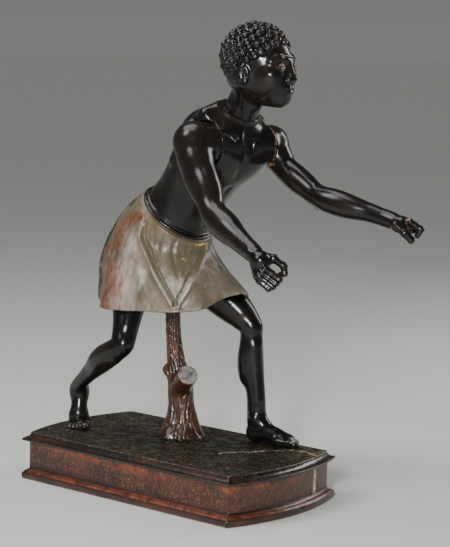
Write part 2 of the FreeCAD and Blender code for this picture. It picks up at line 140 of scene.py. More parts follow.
def turned(about_z=0.0, about_y=0.0, about_x=0.0):
    """Rows are a shape's own three axes."""
    cz, sz = math.cos(math.radians(about_z)), math.sin(math.radians(about_z))
    cy, sy = math.cos(math.radians(about_y)), math.sin(math.radians(about_y))
    cx, sx = math.cos(math.radians(about_x)), math.sin(math.radians(about_x))
    z = np.array([[cz, -sz, 0], [sz, cz, 0], [0, 0, 1]])
    y = np.array([[cy, 0, sy], [0, 1, 0], [-sy, 0, cy]])
    x = np.array([[1, 0, 0], [0, cx, -sx], [0, sx, cx]])
    return (z @ y @ x).T


def egg(centre, radii, axes=None):
    centre, radii = np.asarray(centre, float), np.asarray(radii, float)
    axes = np.eye(3) if axes is None else np.asarray(axes)
    reach = max(radii)

    def distance(x, y, z):
        x, y, z = x - centre[0], y - centre[1], z - centre[2]
        near, steep = 0.0, 0.0
        for row, radius in zip(axes, radii):
            along = (x * row[0] + y * row[1] + z * row[2]) / radius
            near = near + along * along
            steep = steep + (along / radius) ** 2
        near = np.sqrt(near)
        made = near * (near - 1) / np.maximum(np.sqrt(steep), 1e-4)
        return np.where(near < 0.3, -0.7 * min(radii), made)
    return centre - reach, centre + reach, distance


def log_end(a, b, ra, rb):
    """Tapered rod sawn off flat at both ends."""
    a, b = np.asarray(a, float), np.asarray(b, float)
    way, length = unit(b - a), np.linalg.norm(b - a)

    def distance(x, y, z):
        x, y, z = x - a[0], y - a[1], z - a[2]
        along = x * way[0] + y * way[1] + z * way[2]
        off = np.sqrt(np.maximum(x * x + y * y + z * z - along * along, 0))
        side = off - (ra + (rb - ra) * np.clip(along / length, 0, 1))
        return np.maximum(side, np.abs(along - length / 2) - length / 2)
    reach = max(ra, rb)
    return np.minimum(a, b) - reach, np.maximum(a, b) + reach, distance


def curl(centre, way, ring, thick):
    """Little ring-shaped lock of hair lying square to way."""
    def distance(x, y, z):
        x, y, z = x - centre[0], y - centre[1], z - centre[2]
        lift = x * way[0] + y * way[1] + z * way[2]
        off = np.sqrt(np.maximum(x * x + y * y + z * z - lift * lift, 0))
        return np.sqrt((off - ring) ** 2 + lift * lift) - thick
    reach = ring + thick
    return centre - reach, centre + reach, distance


def chain(work, points, thick, blend):
    """Adds or cuts one rod between each point and the next."""
    for p, q in zip(points, points[1:]):
        work(bone(p, q, thick, thick), blend)


class Clay:
    """A block of signed distances that shapes are added to and cut from."""

    def __init__(self, low, high, step):
        self.low, self.step = np.asarray(low, float), step
        count = [int(math.ceil((h - l) / step)) + 1 for l, h in zip(low, high)]
        self.field = np.full(count, FAR, np.float32)

    def window(self, low, high, margin):
        cut, lines = [], []
        for k in range(3):
            a = int((low[k] - margin - self.low[k]) / self.step)
            b = int((high[k] + margin - self.low[k]) / self.step) + 2
            a = min(max(0, a), self.field.shape[k])
            b = max(a, min(self.field.shape[k], b))
            cut.append(slice(a, b))
            lines.append((self.low[k] + self.step * np.arange(a, b)
                          ).astype(np.float32))
        return tuple(cut), np.meshgrid(*lines, indexing="ij", sparse=True)

    def add(self, shape, blend=0.0):
        low, high, distance = shape
        cut, (x, y, z) = self.window(low, high, blend + 2.0)
        made = distance(x, y, z)
        self.field[cut] = blend_min(self.field[cut], made, blend)

    def cut(self, shape, blend=0.0):
        low, high, distance = shape
        cut, (x, y, z) = self.window(low, high, blend + 2.0)
        made = distance(x, y, z)
        self.field[cut] = -blend_min(-self.field[cut], made, blend)

    def keep_side(self, point, way):
        """Slices away all that lies on the far side of the plane."""
        cut, (x, y, z) = self.window(self.low, self.low + 1e4, 0)
        plane = ((x - point[0]) * way[0] + (y - point[1]) * way[1]
                 + (z - point[2]) * way[2])
        self.field = np.maximum(self.field, -plane).astype(np.float32)

    def hollows(self, points, reach=2.2):
        """How far each surface point lies in a hollow, about -1 to 1."""
        r = max(1, int(round(reach / self.step)))
        soft = np.clip(self.field, -reach, reach)
        for axis in range(3):
            soft = np.moveaxis(soft, axis, 0)
            padded = np.concatenate([soft[:1]] * (r + 1) + [soft]
                                    + [soft[-1:]] * r)
            total = np.cumsum(padded, axis=0, dtype=np.float64)
            soft = (total[2 * r + 1:] - total[:-2 * r - 1]) / (2 * r + 1)
            soft = np.moveaxis(soft.astype(np.float32), 0, axis)
        return -2.2 * self.sample(soft, points) / reach

    def sample(self, field, points):
        at = (points - self.low) / self.step
        cell = np.clip(np.floor(at).astype(int), 0,
                       np.array(field.shape) - 2)
        part = np.clip(at - cell, 0, 1)
        total = 0
        for corner in range(8):
            bit = np.array([corner & 1, corner >> 1 & 1, corner >> 2 & 1])
            c = cell + bit
            weight = np.prod(np.where(bit, part, 1 - part), axis=1)
            total = total + field[c[:, 0], c[:, 1], c[:, 2]] * weight
        return total

    def surface(self):
        grid = openvdb.FloatGrid(FAR)
        grid.copyFromArray(self.field)
        points, quads = grid.convertToQuads(0.0)
        return points.astype(float) * self.step + self.low, quads


# ---- meshes ---------------------------------------------------------------
def make_piece(name, points, faces, material, nodes, facts=None):
    """Mesh object in metres, smooth shaded, riding on the root body."""
    mesh = bpy.data.meshes.new(name)
    mesh.from_pydata((np.asarray(points) * MM).tolist(), [],
                     faces.tolist() if hasattr(faces, "tolist") else faces)
    mesh.validate()
    mesh.shade_smooth()
    for key, values in (facts or {}).items():
        layer = mesh.attributes.new(key, "FLOAT", "POINT")
        layer.data.foreach_set("value", np.asarray(values, np.float32))
    mesh.materials.append(material)
    piece = bpy.data.objects.new(name, mesh)
    bpy.context.scene.collection.objects.link(piece)
    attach(piece, "root")
    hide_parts(*nodes)
    return piece


def normals_of(points, quads):
    quads = np.asarray(quads)
    a, b = points[quads[:, 2]] - points[quads[:, 0]], points[quads[:, 3]] - points[quads[:, 1]]
    face = np.cross(a, b)
    total = np.zeros_like(points)
    for k in range(4):
        np.add.at(total, quads[:, k], face)
    return total / np.maximum(np.linalg.norm(total, axis=1, keepdims=True), 1e-9)


def outward(points, quads, clay):
    """Turns every face the right way round if the mesher left them inside out."""
    sample = points[::97] + normals_of(points, quads)[::97] * clay.step
    if np.mean(clay.sample(clay.field, sample)) < 0:
        quads = quads[:, ::-1]
    return quads


def hand_carved(points, normals, amount, seed):
    """Faint unevenness left by the carver's rasp."""
    rough = (value_noise(points, 15.0, seed)
             + 0.35 * value_noise(points, 6.5, seed + 1))
    return points + normals * (rough * amount)[:, None]


def clay_piece(clay, name, material, nodes, facts=None, carve=0.18,
               seed=1, relief=None):
    points, quads = clay.surface()
    quads = outward(points, quads, clay)
    pits = clay.hollows(points)
    normals = normals_of(points, quads)
    layers = {"pit": pits}
    for key, measure in (facts or {}).items():
        layers[key] = measure(points, normals)
    if relief:
        points = points + normals * relief(points, normals)[:, None]
    points = hand_carved(points, normals, carve, seed)
    return make_piece(name, points, quads, material, nodes, layers)


def near(points, places, reach):
    """1 close to any of the places, falling to 0 at reach."""
    found = np.zeros(len(points))
    for place in places:
        gap = np.linalg.norm(points - np.asarray(place), axis=1)
        found = np.maximum(found, 1 - smooth(gap, reach * 0.55, reach))
    return found


# ---- materials ------------------------------------------------------------
class Finish:
    """Short way of wiring up one procedural material."""

    def __init__(self, name):
        self.material = bpy.data.materials.new(name)
        self.material.use_nodes = True
        self.tree = self.material.node_tree
        self.shader = self.tree.nodes["Principled BSDF"]
        self.place = self.tree.nodes.new("ShaderNodeTexCoord").outputs["Object"]

    def put(self, socket, value):
        if isinstance(value, bpy.types.NodeSocket):
            self.tree.links.new(value, socket)
        elif isinstance(value, tuple) and len(value) == 3 and len(
                socket.default_value) == 4:
            socket.default_value = value + (1.0,)
        else:
            socket.default_value = value

    def at(self, stretch=(1, 1, 1), turn=(0, 0, 0)):
        node = self.tree.nodes.new("ShaderNodeMapping")
        self.put(node.inputs["Vector"], self.place)
        node.inputs["Scale"].default_value = stretch
        node.inputs["Rotation"].default_value = turn
        return node.outputs["Vector"]

    def noise(self, size_mm, detail=4.0, rough=0.55, stretch=(1, 1, 1),
              turn=(0, 0, 0), warp=0.0):
        node = self.tree.nodes.new("ShaderNodeTexNoise")
        self.put(node.inputs["Vector"], self.at(stretch, turn))
        node.inputs["Scale"].default_value = 1000.0 / size_mm
        node.inputs["Detail"].default_value = detail
        node.inputs["Roughness"].default_value = rough
        node.inputs["Distortion"].default_value = warp
        return node.outputs["Fac"]

    def attr(self, name):
        node = self.tree.nodes.new("ShaderNodeAttribute")
        node.attribute_name = name
        return node.outputs["Fac"]

    def mix(self, fac, a, b, how="MIX"):
        node = self.tree.nodes.new("ShaderNodeMix")
        node.data_type = "RGBA"
        node.blend_type = how
        self.put(node.inputs[0], fac)
        self.put(node.inputs[6], a)
        self.put(node.inputs[7], b)
        return node.outputs[2]

    def sum(self, how, a, b=0.5, clamp=False):
        node = self.tree.nodes.new("ShaderNodeMath")
        node.operation = how
        node.use_clamp = clamp
        self.put(node.inputs[0], a)
        self.put(node.inputs[1], b)
        return node.outputs[0]

    def times(self, a, b, clamp=False):
        return self.sum("MULTIPLY", a, b, clamp)

    def plus(self, a, b):
        return self.sum("ADD", a, b)

    def minus(self, a, b):
        return self.sum("SUBTRACT", a, b)

    def waver(self, fac, size):
        """The pattern's swing either side of its middle."""
        return self.times(self.minus(fac, 0.5), size)

    def between(self, fac, low, high):
        """0 below low, 1 above high."""
        node = self.tree.nodes.new("ShaderNodeMapRange")
        node.interpolation_type = "SMOOTHSTEP"
        self.put(node.inputs["Value"], fac)
        node.inputs["From Min"].default_value = low
        node.inputs["From Max"].default_value = high
        return node.outputs["Result"]

    def height(self):
        node = self.tree.nodes.new("ShaderNodeSeparateXYZ")
        self.put(node.inputs[0], self.place)
        return node.outputs[2]

    def bump(self, height, depth_mm, strength=1.0, under=None):
        node = self.tree.nodes.new("ShaderNodeBump")
        self.put(node.inputs["Height"], height)
        node.inputs["Distance"].default_value = depth_mm * MM
        node.inputs["Strength"].default_value = strength
        if under:
            self.put(node.inputs["Normal"], under)
        return node.outputs["Normal"]

    def done(self, colour, rough, normal=None, coat=0.0, coat_rough=0.15,
             metal=0.0, shine=0.5):
        self.put(self.shader.inputs["Base Color"], colour)
        self.put(self.shader.inputs["Roughness"], rough)
        self.put(self.shader.inputs["Metallic"], metal)
        self.put(self.shader.inputs["Specular IOR Level"], shine)
        self.shader.inputs["Coat Weight"].default_value = coat
        self.shader.inputs["Coat Roughness"].default_value = coat_rough
        if normal:
            self.put(self.shader.inputs["Normal"], normal)
            self.put(self.shader.inputs["Coat Normal"], normal)
        return self.material


def ebonised_finish():
    """Polished black stain over brown wood, rubbed thin on the ridges."""
    f = Finish("ebonised_wood")
    cloud = f.noise(38, 5, 0.6)
    grain = f.noise(9, 6, 0.65, (1, 1, 0.18), (0, 0.5, 0))
    black = f.mix(f.between(cloud, 0.35, 0.7), (0.0045, 0.0040, 0.0042),
                  (0.012, 0.0085, 0.0070))
    brown = f.mix(f.between(grain, 0.4, 0.65), (0.020, 0.0095, 0.0055),
                  (0.045, 0.019, 0.010))
    ridge = f.times(f.attr("pit"), -1.0)
    rub = f.between(f.plus(ridge, f.waver(cloud, 1.4)), 0.30, 0.95)
    colour = f.mix(f.times(rub, 0.6), black, brown)
    dust = f.between(f.plus(f.attr("pit"), f.waver(f.noise(6), 0.8)), 0.35, 0.9)
    colour = f.mix(f.times(dust, 0.35), colour, (0.030, 0.024, 0.019))
    fleck = f.between(f.noise(2.1, 2), 0.70, 0.78)
    colour = f.mix(f.times(fleck, 0.25), colour, (0.06, 0.035, 0.022))
    bare = f.mix(f.between(grain, 0.4, 0.6), (0.17, 0.055, 0.020),
                 (0.42, 0.19, 0.085))
    colour = f.mix(f.attr("bare"), colour, bare)
    colour = f.mix(f.times(f.attr("rubbed"), f.between(
        f.noise(3, 4), 0.32, 0.52)), colour, (0.25, 0.135, 0.085))
    colour = f.mix(f.times(f.attr("nail"), f.between(
        f.noise(3, 3), 0.30, 0.50)), colour, (0.36, 0.29, 0.24))
    colour = f.mix(f.attr("lip"), colour, (0.030, 0.010, 0.008))
    rough = f.plus(f.times(f.noise(16, 6, 0.7), 0.14),
                  f.times(f.noise(2.6, 3), 0.06))
    rough = f.plus(rough, 0.12)
    rough = f.plus(rough, f.times(dust, 0.25))
    rough = f.plus(rough, f.times(f.attr("bare"), 0.25))
    normal = f.bump(grain, 0.06, 0.35)
    normal = f.bump(f.noise(1.3, 4), 0.025, 0.4, normal)
    normal = f.bump(f.noise(9, 3), 0.22, 0.25, normal)
    return f.done(colour, rough, normal, shine=0.42)


def kilt_finish():
    """Old silvered paint over red bole, worn through and dirty, with painted sheen and painted
    shade on the folds.
    """
    f = Finish("kilt_worn_paint")
    streak = f.noise(7, 6, 0.7, (1, 1, 0.16))
    cloud = f.noise(26, 6, 0.62)
    spots = f.noise(4.5, 5, 0.7)
    grey = f.mix(f.between(cloud, 0.35, 0.65), (0.092, 0.072, 0.046),
                 (0.172, 0.138, 0.098))
    pink = f.mix(f.between(streak, 0.4, 0.62), (0.160, 0.082, 0.058),
                 (0.28, 0.185, 0.145))
    colour = f.mix(f.between(f.plus(cloud, f.times(f.attr("pink"), 0.5)), 0.52, 0.80), grey, pink)
    # silvered streaks, with painted sheen added along the fold ridges and over the lower front
    # panel
    silver_and_sheen = f.between(f.plus(streak, f.times(f.attr("silver_and_sheen"), 0.35)), 0.55, 0.85)
    colour = f.mix(silver_and_sheen, colour, (0.34, 0.300, 0.250))
    # darker olive, also laid into the fold grooves and near both side edges as painted shade
    olive = f.between(f.plus(f.times(f.attr("olive"), 0.6),
                            f.times(spots, 0.8)), 0.45, 0.95)
    colour = f.mix(f.times(olive, 0.75), colour,
                   (0.075, 0.062, 0.026))
    thin = f.between(f.noise(5.5, 6, 0.75, (1, 1, 0.3)), 0.54, 0.70)
    colour = f.mix(f.times(thin, 0.60), colour, (0.13, 0.075, 0.038))
    scratch = f.between(f.noise(1.6, 3, 0.6, (1, 1, 0.10)), 0.66, 0.74)
    colour = f.mix(f.times(scratch, 0.5), colour, (0.50, 0.44, 0.34))
    flake = f.noise(5.5, 6, 0.72, (1, 1, 0.35))
    bole = f.between(f.plus(f.attr("bole"), f.waver(flake, 2.8)), 0.30, 1.05)
    red = f.mix(f.between(f.noise(6, 5, 0.7, (1, 1, 0.3)), 0.4, 0.62),
                (0.070, 0.022, 0.010), (0.185, 0.062, 0.028))
    colour = f.mix(f.times(bole, 0.85), colour, red)
    gold = f.between(f.plus(f.attr("gold"), f.waver(f.noise(2.6, 4), 2.2)), 0.60, 0.85)
    colour = f.mix(gold, colour, (0.72, 0.36, 0.07))
    cream = f.between(f.plus(f.attr("cream"), f.waver(f.noise(2.0, 4), 1.2)), 0.5, 0.7)
    colour = f.mix(cream, colour, (0.68, 0.58, 0.42))
    # near black: painted shade along the left side, in the fold grooves, in and under the rim's
    # groove and inside the hem, plus two dark patches near the right side
    dirt_and_shade = f.between(f.plus(f.attr("dirt_and_shade"), f.waver(f.noise(5, 5, 0.65), 1.2)),
        0.45, 0.95)
    colour = f.mix(f.times(dirt_and_shade, 0.93), colour,
                   (0.017, 0.015, 0.008))
    rough = f.plus(f.times(streak, 0.35), 0.22)
    normal = f.bump(streak, 0.25, 0.6)
    normal = f.bump(f.noise(1.6, 4), 0.10, 0.6, normal)
    normal = f.bump(f.noise(9, 4), 0.6, 0.35, normal)
    metal = f.times(silver_and_sheen, 0.35)
    return f.done(colour, rough, normal, 0.10, 0.3, metal)


def trunk_finish():
    f = Finish("carved_trunk_wood")
    cloud = f.noise(20, 5, 0.6)
    fibre = f.noise(5, 6, 0.7, (1, 1, 0.12))
    colour = f.mix(f.between(cloud, 0.35, 0.65), (0.028, 0.010, 0.006),
                   (0.082, 0.026, 0.012))
    colour = f.mix(f.between(fibre, 0.54, 0.70), colour, (0.17, 0.060, 0.028))
    # painted highlight: pale patches on the crowns of the bark
    crown_highlight = f.between(f.times(f.attr("pit"), -1.0), 0.25, 0.9)
    colour = f.mix(f.times(crown_highlight, f.between(
        f.noise(3, 4), 0.45, 0.65)), colour, (0.42, 0.235, 0.17))
    # painted shade: the bark's furrows darkened to near black
    colour = f.mix(f.between(f.attr("pit"), 0.05, 0.8), colour,
                   (0.010, 0.004, 0.003))
    cut = f.mix(f.between(f.noise(4, 5, 0.7, (1, 0.3, 0.3)), 0.4, 0.6),
                (0.09, 0.072, 0.064), (0.27, 0.250, 0.240))
    colour = f.mix(f.attr("sawn"), colour, cut)
    # darker towards the foot of the roots, where they run into the slab
    root_foot_dark = f.minus(1.0, f.between(f.plus(f.height(), f.times(f.noise(6, 3), 0.008)), 0.0535, 0.060))
    colour = f.mix(f.times(root_foot_dark, 0.8), colour, (0.020, 0.012, 0.006))
    rough = f.plus(f.times(fibre, 0.25), 0.17)
    normal = f.bump(fibre, 0.30, 0.6)
    normal = f.bump(f.noise(1.2, 3), 0.08, 0.5, normal)
    return f.done(colour, rough, normal, 0.35, 0.15)


def slab_finish():
    """Dark stained ground, greenish where the stain has aged."""
    f = Finish("plinth_dark_stain")
    cloud = f.noise(42, 5, 0.62)
    grain = f.noise(8, 6, 0.7, (0.15, 1, 1))
    colour = f.mix(f.between(cloud, 0.35, 0.68), (0.008, 0.007, 0.004),
                   (0.026, 0.017, 0.008))
    colour = f.mix(f.between(f.noise(15, 6, 0.7), 0.54, 0.70), colour,
                   (0.034, 0.036, 0.015))
    colour = f.mix(f.times(f.between(grain, 0.56, 0.72), 0.45),
                   colour, (0.085, 0.034, 0.014))
    # painted shade: the gouges darkened to near black
    colour = f.mix(f.times(f.between(f.attr("pit"), 0.15, 0.8), 0.8), colour,
        (0.004, 0.003, 0.002))
    colour = f.mix(f.times(f.attr("edge"), f.between(
        f.noise(7, 5), 0.46, 0.66)), colour, (0.15, 0.042, 0.015))
    colour = f.mix(f.times(f.attr("pale"), f.between(
        f.noise(9, 5), 0.38, 0.66)), colour, (0.22, 0.195, 0.105))
    tooled = f.noise(3.4, 4, 0.65, warp=0.8)
    ground = f.between(f.height(), 0.0471, 0.0479)
    tooled = f.plus(0.5, f.times(ground, f.minus(tooled, 0.5)))
    colour = f.mix(f.minus(1.0, ground), colour,
                   f.mix(f.between(grain, 0.45, 0.7), (0.010, 0.006, 0.004),
                         (0.050, 0.020, 0.010)))
    # painted highlight on the crowns of the tool marks, and painted shade in their hollows
    colour = f.mix(f.times(f.between(tooled, 0.53, 0.63), 0.75),
                   colour, (0.074, 0.066, 0.032))
    colour = f.mix(f.minus(1.0, f.between(tooled, 0.34, 0.46)),
                   colour, (0.003, 0.003, 0.002))
    colour = f.mix(f.attr("split"), colour, (0.42, 0.31, 0.19))
    rough = f.plus(f.times(f.noise(5, 5, 0.7), 0.30), 0.12)
    normal = f.bump(grain, 0.18, 0.5)
    normal = f.bump(tooled, 1.1, 0.8, normal)
    return f.done(colour, rough, normal, 0.35, 0.18)


def frieze_finish(name="frieze_wood", along=(0.10, 1, 1)):
    """Red-brown polished wood, stippled with a small punch."""
    f = Finish(name)
    cloud = f.noise(46, 5, 0.6)
    grain = f.noise(5.0, 6, 0.72, along)
    punch = f.noise(2.7, 4, 0.65, (1.5, 1.5, 0.7), warp=0.7)
    colour = f.mix(f.between(cloud, 0.32, 0.70), (0.026, 0.009, 0.005),
                   (0.076, 0.023, 0.009))
    colour = f.mix(f.times(f.between(grain, 0.50, 0.70), 0.6),
                   colour, (0.165, 0.055, 0.020))
    lit = f.between(punch, 0.54, 0.66)
    colour = f.mix(f.times(lit, 0.6), colour, (0.22, 0.088, 0.036))
    glow = f.times(f.between(f.height(), 0.026, 0.038),
                 f.between(f.noise(34, 4), 0.42, 0.60))
    colour = f.mix(f.times(glow, 0.55), colour, (0.36, 0.085, 0.022))
    low = f.minus(1.0, f.between(f.height(), 0.012, 0.019))
    colour = f.mix(f.times(low, 0.6), colour, (0.020, 0.007, 0.004))
    # painted shade: the punch holes darkened to near black
    hole = f.between(punch, 0.36, 0.48)
    colour = f.mix(f.times(f.minus(1.0, hole), 0.8),
                   colour, (0.009, 0.004, 0.003))
    raised = f.between(f.noise(1.9, 4, 0.6, (0.35, 1.0, 1.6), (0.5, 0.7, 0)),
                       0.60, 0.70)
    patch = f.between(f.noise(26, 3), 0.50, 0.62)
    colour = f.mix(f.times(raised, f.times(patch, 0.75)), colour, (0.42, 0.235, 0.125))
    rough = f.plus(f.times(f.noise(6, 5, 0.7), 0.30), 0.18)
    normal = f.bump(punch, 1.3, 0.85)
    normal = f.bump(grain, 0.30, 0.6, normal)
    normal = f.bump(f.noise(12, 3), 0.6, 0.4, normal)
    return f.done(colour, rough, normal, 0.25, 0.2)


def moulding_finish():
    """Dark purplish bead between two orange-red worn edges."""
    f = Finish("base_moulding_wood")
    cloud = f.noise(30, 5, 0.6)
    grain = f.noise(5, 6, 0.72, (0.12, 0.6, 1))
    colour = f.mix(f.between(cloud, 0.35, 0.68), (0.018, 0.007, 0.006),
                   (0.055, 0.016, 0.011))
    foot = f.minus(1.0, f.between(f.height(), 0.0006, 0.0016))
    shelf = f.times(f.between(f.height(), 0.0066, 0.0076),
                  f.minus(1.0, f.between(f.height(), 0.0085, 0.0105)))
    worn = f.times(f.plus(foot, f.times(shelf, 0.7)), f.between(f.noise(10, 5), 0.36, 0.60), True)
    colour = f.mix(f.times(worn, 0.8), colour, (0.30, 0.075, 0.025))
    colour = f.mix(f.times(f.between(grain, 0.56, 0.72), 0.35),
                   colour, (0.12, 0.038, 0.016))
    rough = f.plus(f.times(f.noise(6, 5, 0.7), 0.30), 0.18)
    normal = f.bump(grain, 0.18, 0.5)
    normal = f.bump(f.noise(8, 4), 0.5, 0.45, normal)
    return f.done(colour, rough, normal, 0.3, 0.2)


def filler_finish():
    f = Finish("pale_filler")
    colour = f.mix(f.between(f.noise(4, 5), 0.4, 0.62), (0.40, 0.28, 0.16),
                   (0.70, 0.56, 0.37))
    return f.done(colour, 0.75, f.bump(f.noise(1.5, 5), 0.25, 0.7))


def dowel_finish():
    f = Finish("beech_dowel")
    grain = f.noise(3, 5, 0.6, (1, 1, 0.15))
    colour = f.mix(f.between(grain, 0.35, 0.65), (0.36, 0.22, 0.11),
                   (0.58, 0.40, 0.23))
    return f.done(colour, 0.6, f.bump(grain, 0.1, 0.4))


def steel_finish():
    f = Finish("dull_steel")
    spots = f.noise(2.5, 5, 0.7)
    colour = f.mix(f.between(spots, 0.5, 0.7), (0.36, 0.35, 0.33),
                   (0.16, 0.085, 0.045))
    rough = f.plus(f.times(spots, 0.4), 0.2)
    return f.done(colour, rough, f.bump(spots, 0.05, 0.4), metal=0.9)


def eye_finish():
    """Dull bone-white inlay with faint veins."""
    f = Finish("eye_inlay")
    veins = f.noise(2.4, 5, 0.7)
    white = f.mix(f.between(veins, 0.4, 0.65), (0.115, 0.080, 0.058),
                  (0.205, 0.165, 0.125))
    return f.done(white, 0.22, f.bump(veins, 0.05, 0.3), 0.3, 0.1)


EBONY = ebonised_finish()
KILT_PAINT = kilt_finish()
TRUNK_WOOD = trunk_finish()
SLAB_STAIN = slab_finish()
FRIEZE = frieze_finish()
MOULDING = moulding_finish()


# ---- kilt -----------------------------------------------------------------
# (centre x, y, z, forward tilt, half length, half width)
KILT = [(-18, 16, 281, 38, 41.0, 40.0), (-26, 16, 272.5, 31, 46.5, 43.0),
        (-35, 16, 257, 20, 55.5, 46.5), (-35, 16, 230, 9, 73.0, 54.0),
        (-28, 16, 205, 0, 82.0, 61.0), (-24, 16, 186.5, -3, 86.0, 65.0)]
KILT_ROWS = eased(KILT, 20)
CAP_DROP = 1.5                 # torso's seat, below the kilt's rim
CEILING_Z = 209.0              # flat underside inside the kilt
RIM_TO_HEM = 128.0             # length down the cloth
WAIST_UP = vec(math.sin(math.radians(38)), 0, math.cos(math.radians(38)))
# fold lines: (degrees round from the figure's left, part of the way down)
LEFT_FOLD = [(182, 0.22), (174, 0.37), (163, 0.47), (156, 0.60), (150, 0.79),
             (145, 0.95)]
RIGHT_FOLD = [(70, 0.08), (78, 0.20), (96, 0.42), (119, 0.60), (134, 0.80),
              (142, 0.95)]


def kilt_frame(v):
    place = np.asarray(v) * (len(KILT) - 1)
    knots = np.linspace(0, len(KILT) - 1, len(KILT_ROWS))
    row = [np.interp(place, knots, KILT_ROWS[:, c]) for c in range(6)]
    tilt = np.radians(row[3])
    centre = np.stack(row[:3], -1)
    ahead = np.stack([np.cos(tilt), 0 * tilt, -np.sin(tilt)], -1)
    return centre, ahead, row[4], row[5]


def kilt_point(u, v, grow=0.0):
    """u in degrees, v from 0 at the rim to 1 at the hem."""
    centre, ahead, half_long, half_wide = kilt_frame(v)
    a = np.radians(u)
    return (centre + ahead * ((half_long + grow) * np.sin(a))[..., None]
            + vec(0, 1, 0) * ((half_wide + grow) * np.cos(a))[..., None])


def bump_at(u, middle, reach):
    gap = np.abs((u - middle + 180) % 360 - 180)
    return 1 - smooth(gap, 0, reach)


def fold_line(rows):
    rows = eased(rows, 12)
    return rows, kilt_point(rows[:, 0], rows[:, 1])


def gap_to(points, line, chunk=20000):
    """Distance from each point to the nearest point on a line."""
    flat = points.reshape(-1, 3)
    found = np.empty(len(flat))
    for k in range(0, len(flat), chunk):
        part = flat[k:k + chunk, None] - line[None]
        found[k:k + chunk] = np.sqrt((part ** 2).sum(-1).min(1))
    return found.reshape(points.shape[:-1])


def kilt_fields(u, v, base):
    left, left_line = fold_line(LEFT_FOLD)
    right, right_line = fold_line(RIGHT_FOLD)
    left_u = np.interp(v, left[:, 1], left[:, 0])
    right_u = np.interp(v, right[:, 1], right[:, 0])
    inside = ((u < left_u) & (u > right_u)).astype(float)
    to_left, to_right = gap_to(base, left_line), gap_to(base, right_line)
    sign = np.where(inside > 0, 1.0, -1.0)
    a, b = sign * to_left, sign * to_right
    reach = smooth(v, 0.08, 0.35) * (1 - smooth(v, 0.95, 1.0))
    ridge = (2.7 * np.exp(-(a / 2.3) ** 2) + 2.4 * np.exp(-(b / 2.4) ** 2)
             + 0.7 * np.exp(-((a - 7.6) / 1.8) ** 2)
             + 0.5 * np.exp(-((b - 7.4) / 1.8) ** 2))
    groove = (2.1 * np.exp(-((a - 4.8) / 2.1) ** 2)
              + 1.8 * np.exp(-((b - 4.8) / 2.1) ** 2))
    relief = (ridge - groove) * reach
    relief -= 1.6 * np.exp(-((a + 7.5) / 5.0) ** 2) * reach
    relief -= 1.4 * np.exp(-((b + 7.5) / 5.0) ** 2) * reach
    relief += 1.2 * inside * smooth(np.minimum(to_left, to_right), 8, 20)
    # cloth pushed out over the two thighs
    relief += 4.6 * bump_at(u, 60, 46) * smooth(v, 0.12, 0.5)
    relief += 3.8 * bump_at(u, 200, 32) * smooth(v, 0.55, 0.95)
    # broad hanging folds, deeper towards the hem
    swing = smooth(v, 0.25, 1.0)
    bend = 7 * np.sin(v * 3.1 + 0.6)
    relief += swing * 1.9 * np.cos(np.radians(9 * (u + bend))) * (
        1 - 0.75 * bump_at(u, 140, 70)) * (0.6 + 0.4 * np.cos(np.radians(2 * u)))
    relief += swing * 0.9 * np.cos(np.radians(17 * u + 40)) * (
        1 - 0.6 * bump_at(u, 140, 60))
    for middle, tilt, top, size in ((196, -10, 0.10, 1.0), (212, -6, 0.2, 1.2),
                                    (62, 10, 0.15, 1.2), (46, 8, 0.3, 1.3),
                                    (112, 8, 0.05, 0.8), (131, 3, 0.0, 0.9),
                                    (152, -6, 0.05, 0.7), (232, -8, 0.25, 1.4)):
        line = middle + tilt * v
        off = (u - line) * 1.05
        relief -= size * np.exp(-(off / 2.6) ** 2) * smooth(
            v, top, top + 0.2) * (1 - smooth(v, top + 0.4, top + 0.75))
    grain = np.stack([base[..., 0], base[..., 1], base[..., 2] * 0.35], -1)
    relief += 0.30 * value_noise(grain, 6.0, 5) + 0.5 * value_noise(
        base, 20.0, 6)
    relief += 0.10 * value_noise(base, 2.6, 7)
    return relief, a, b, inside, groove * reach


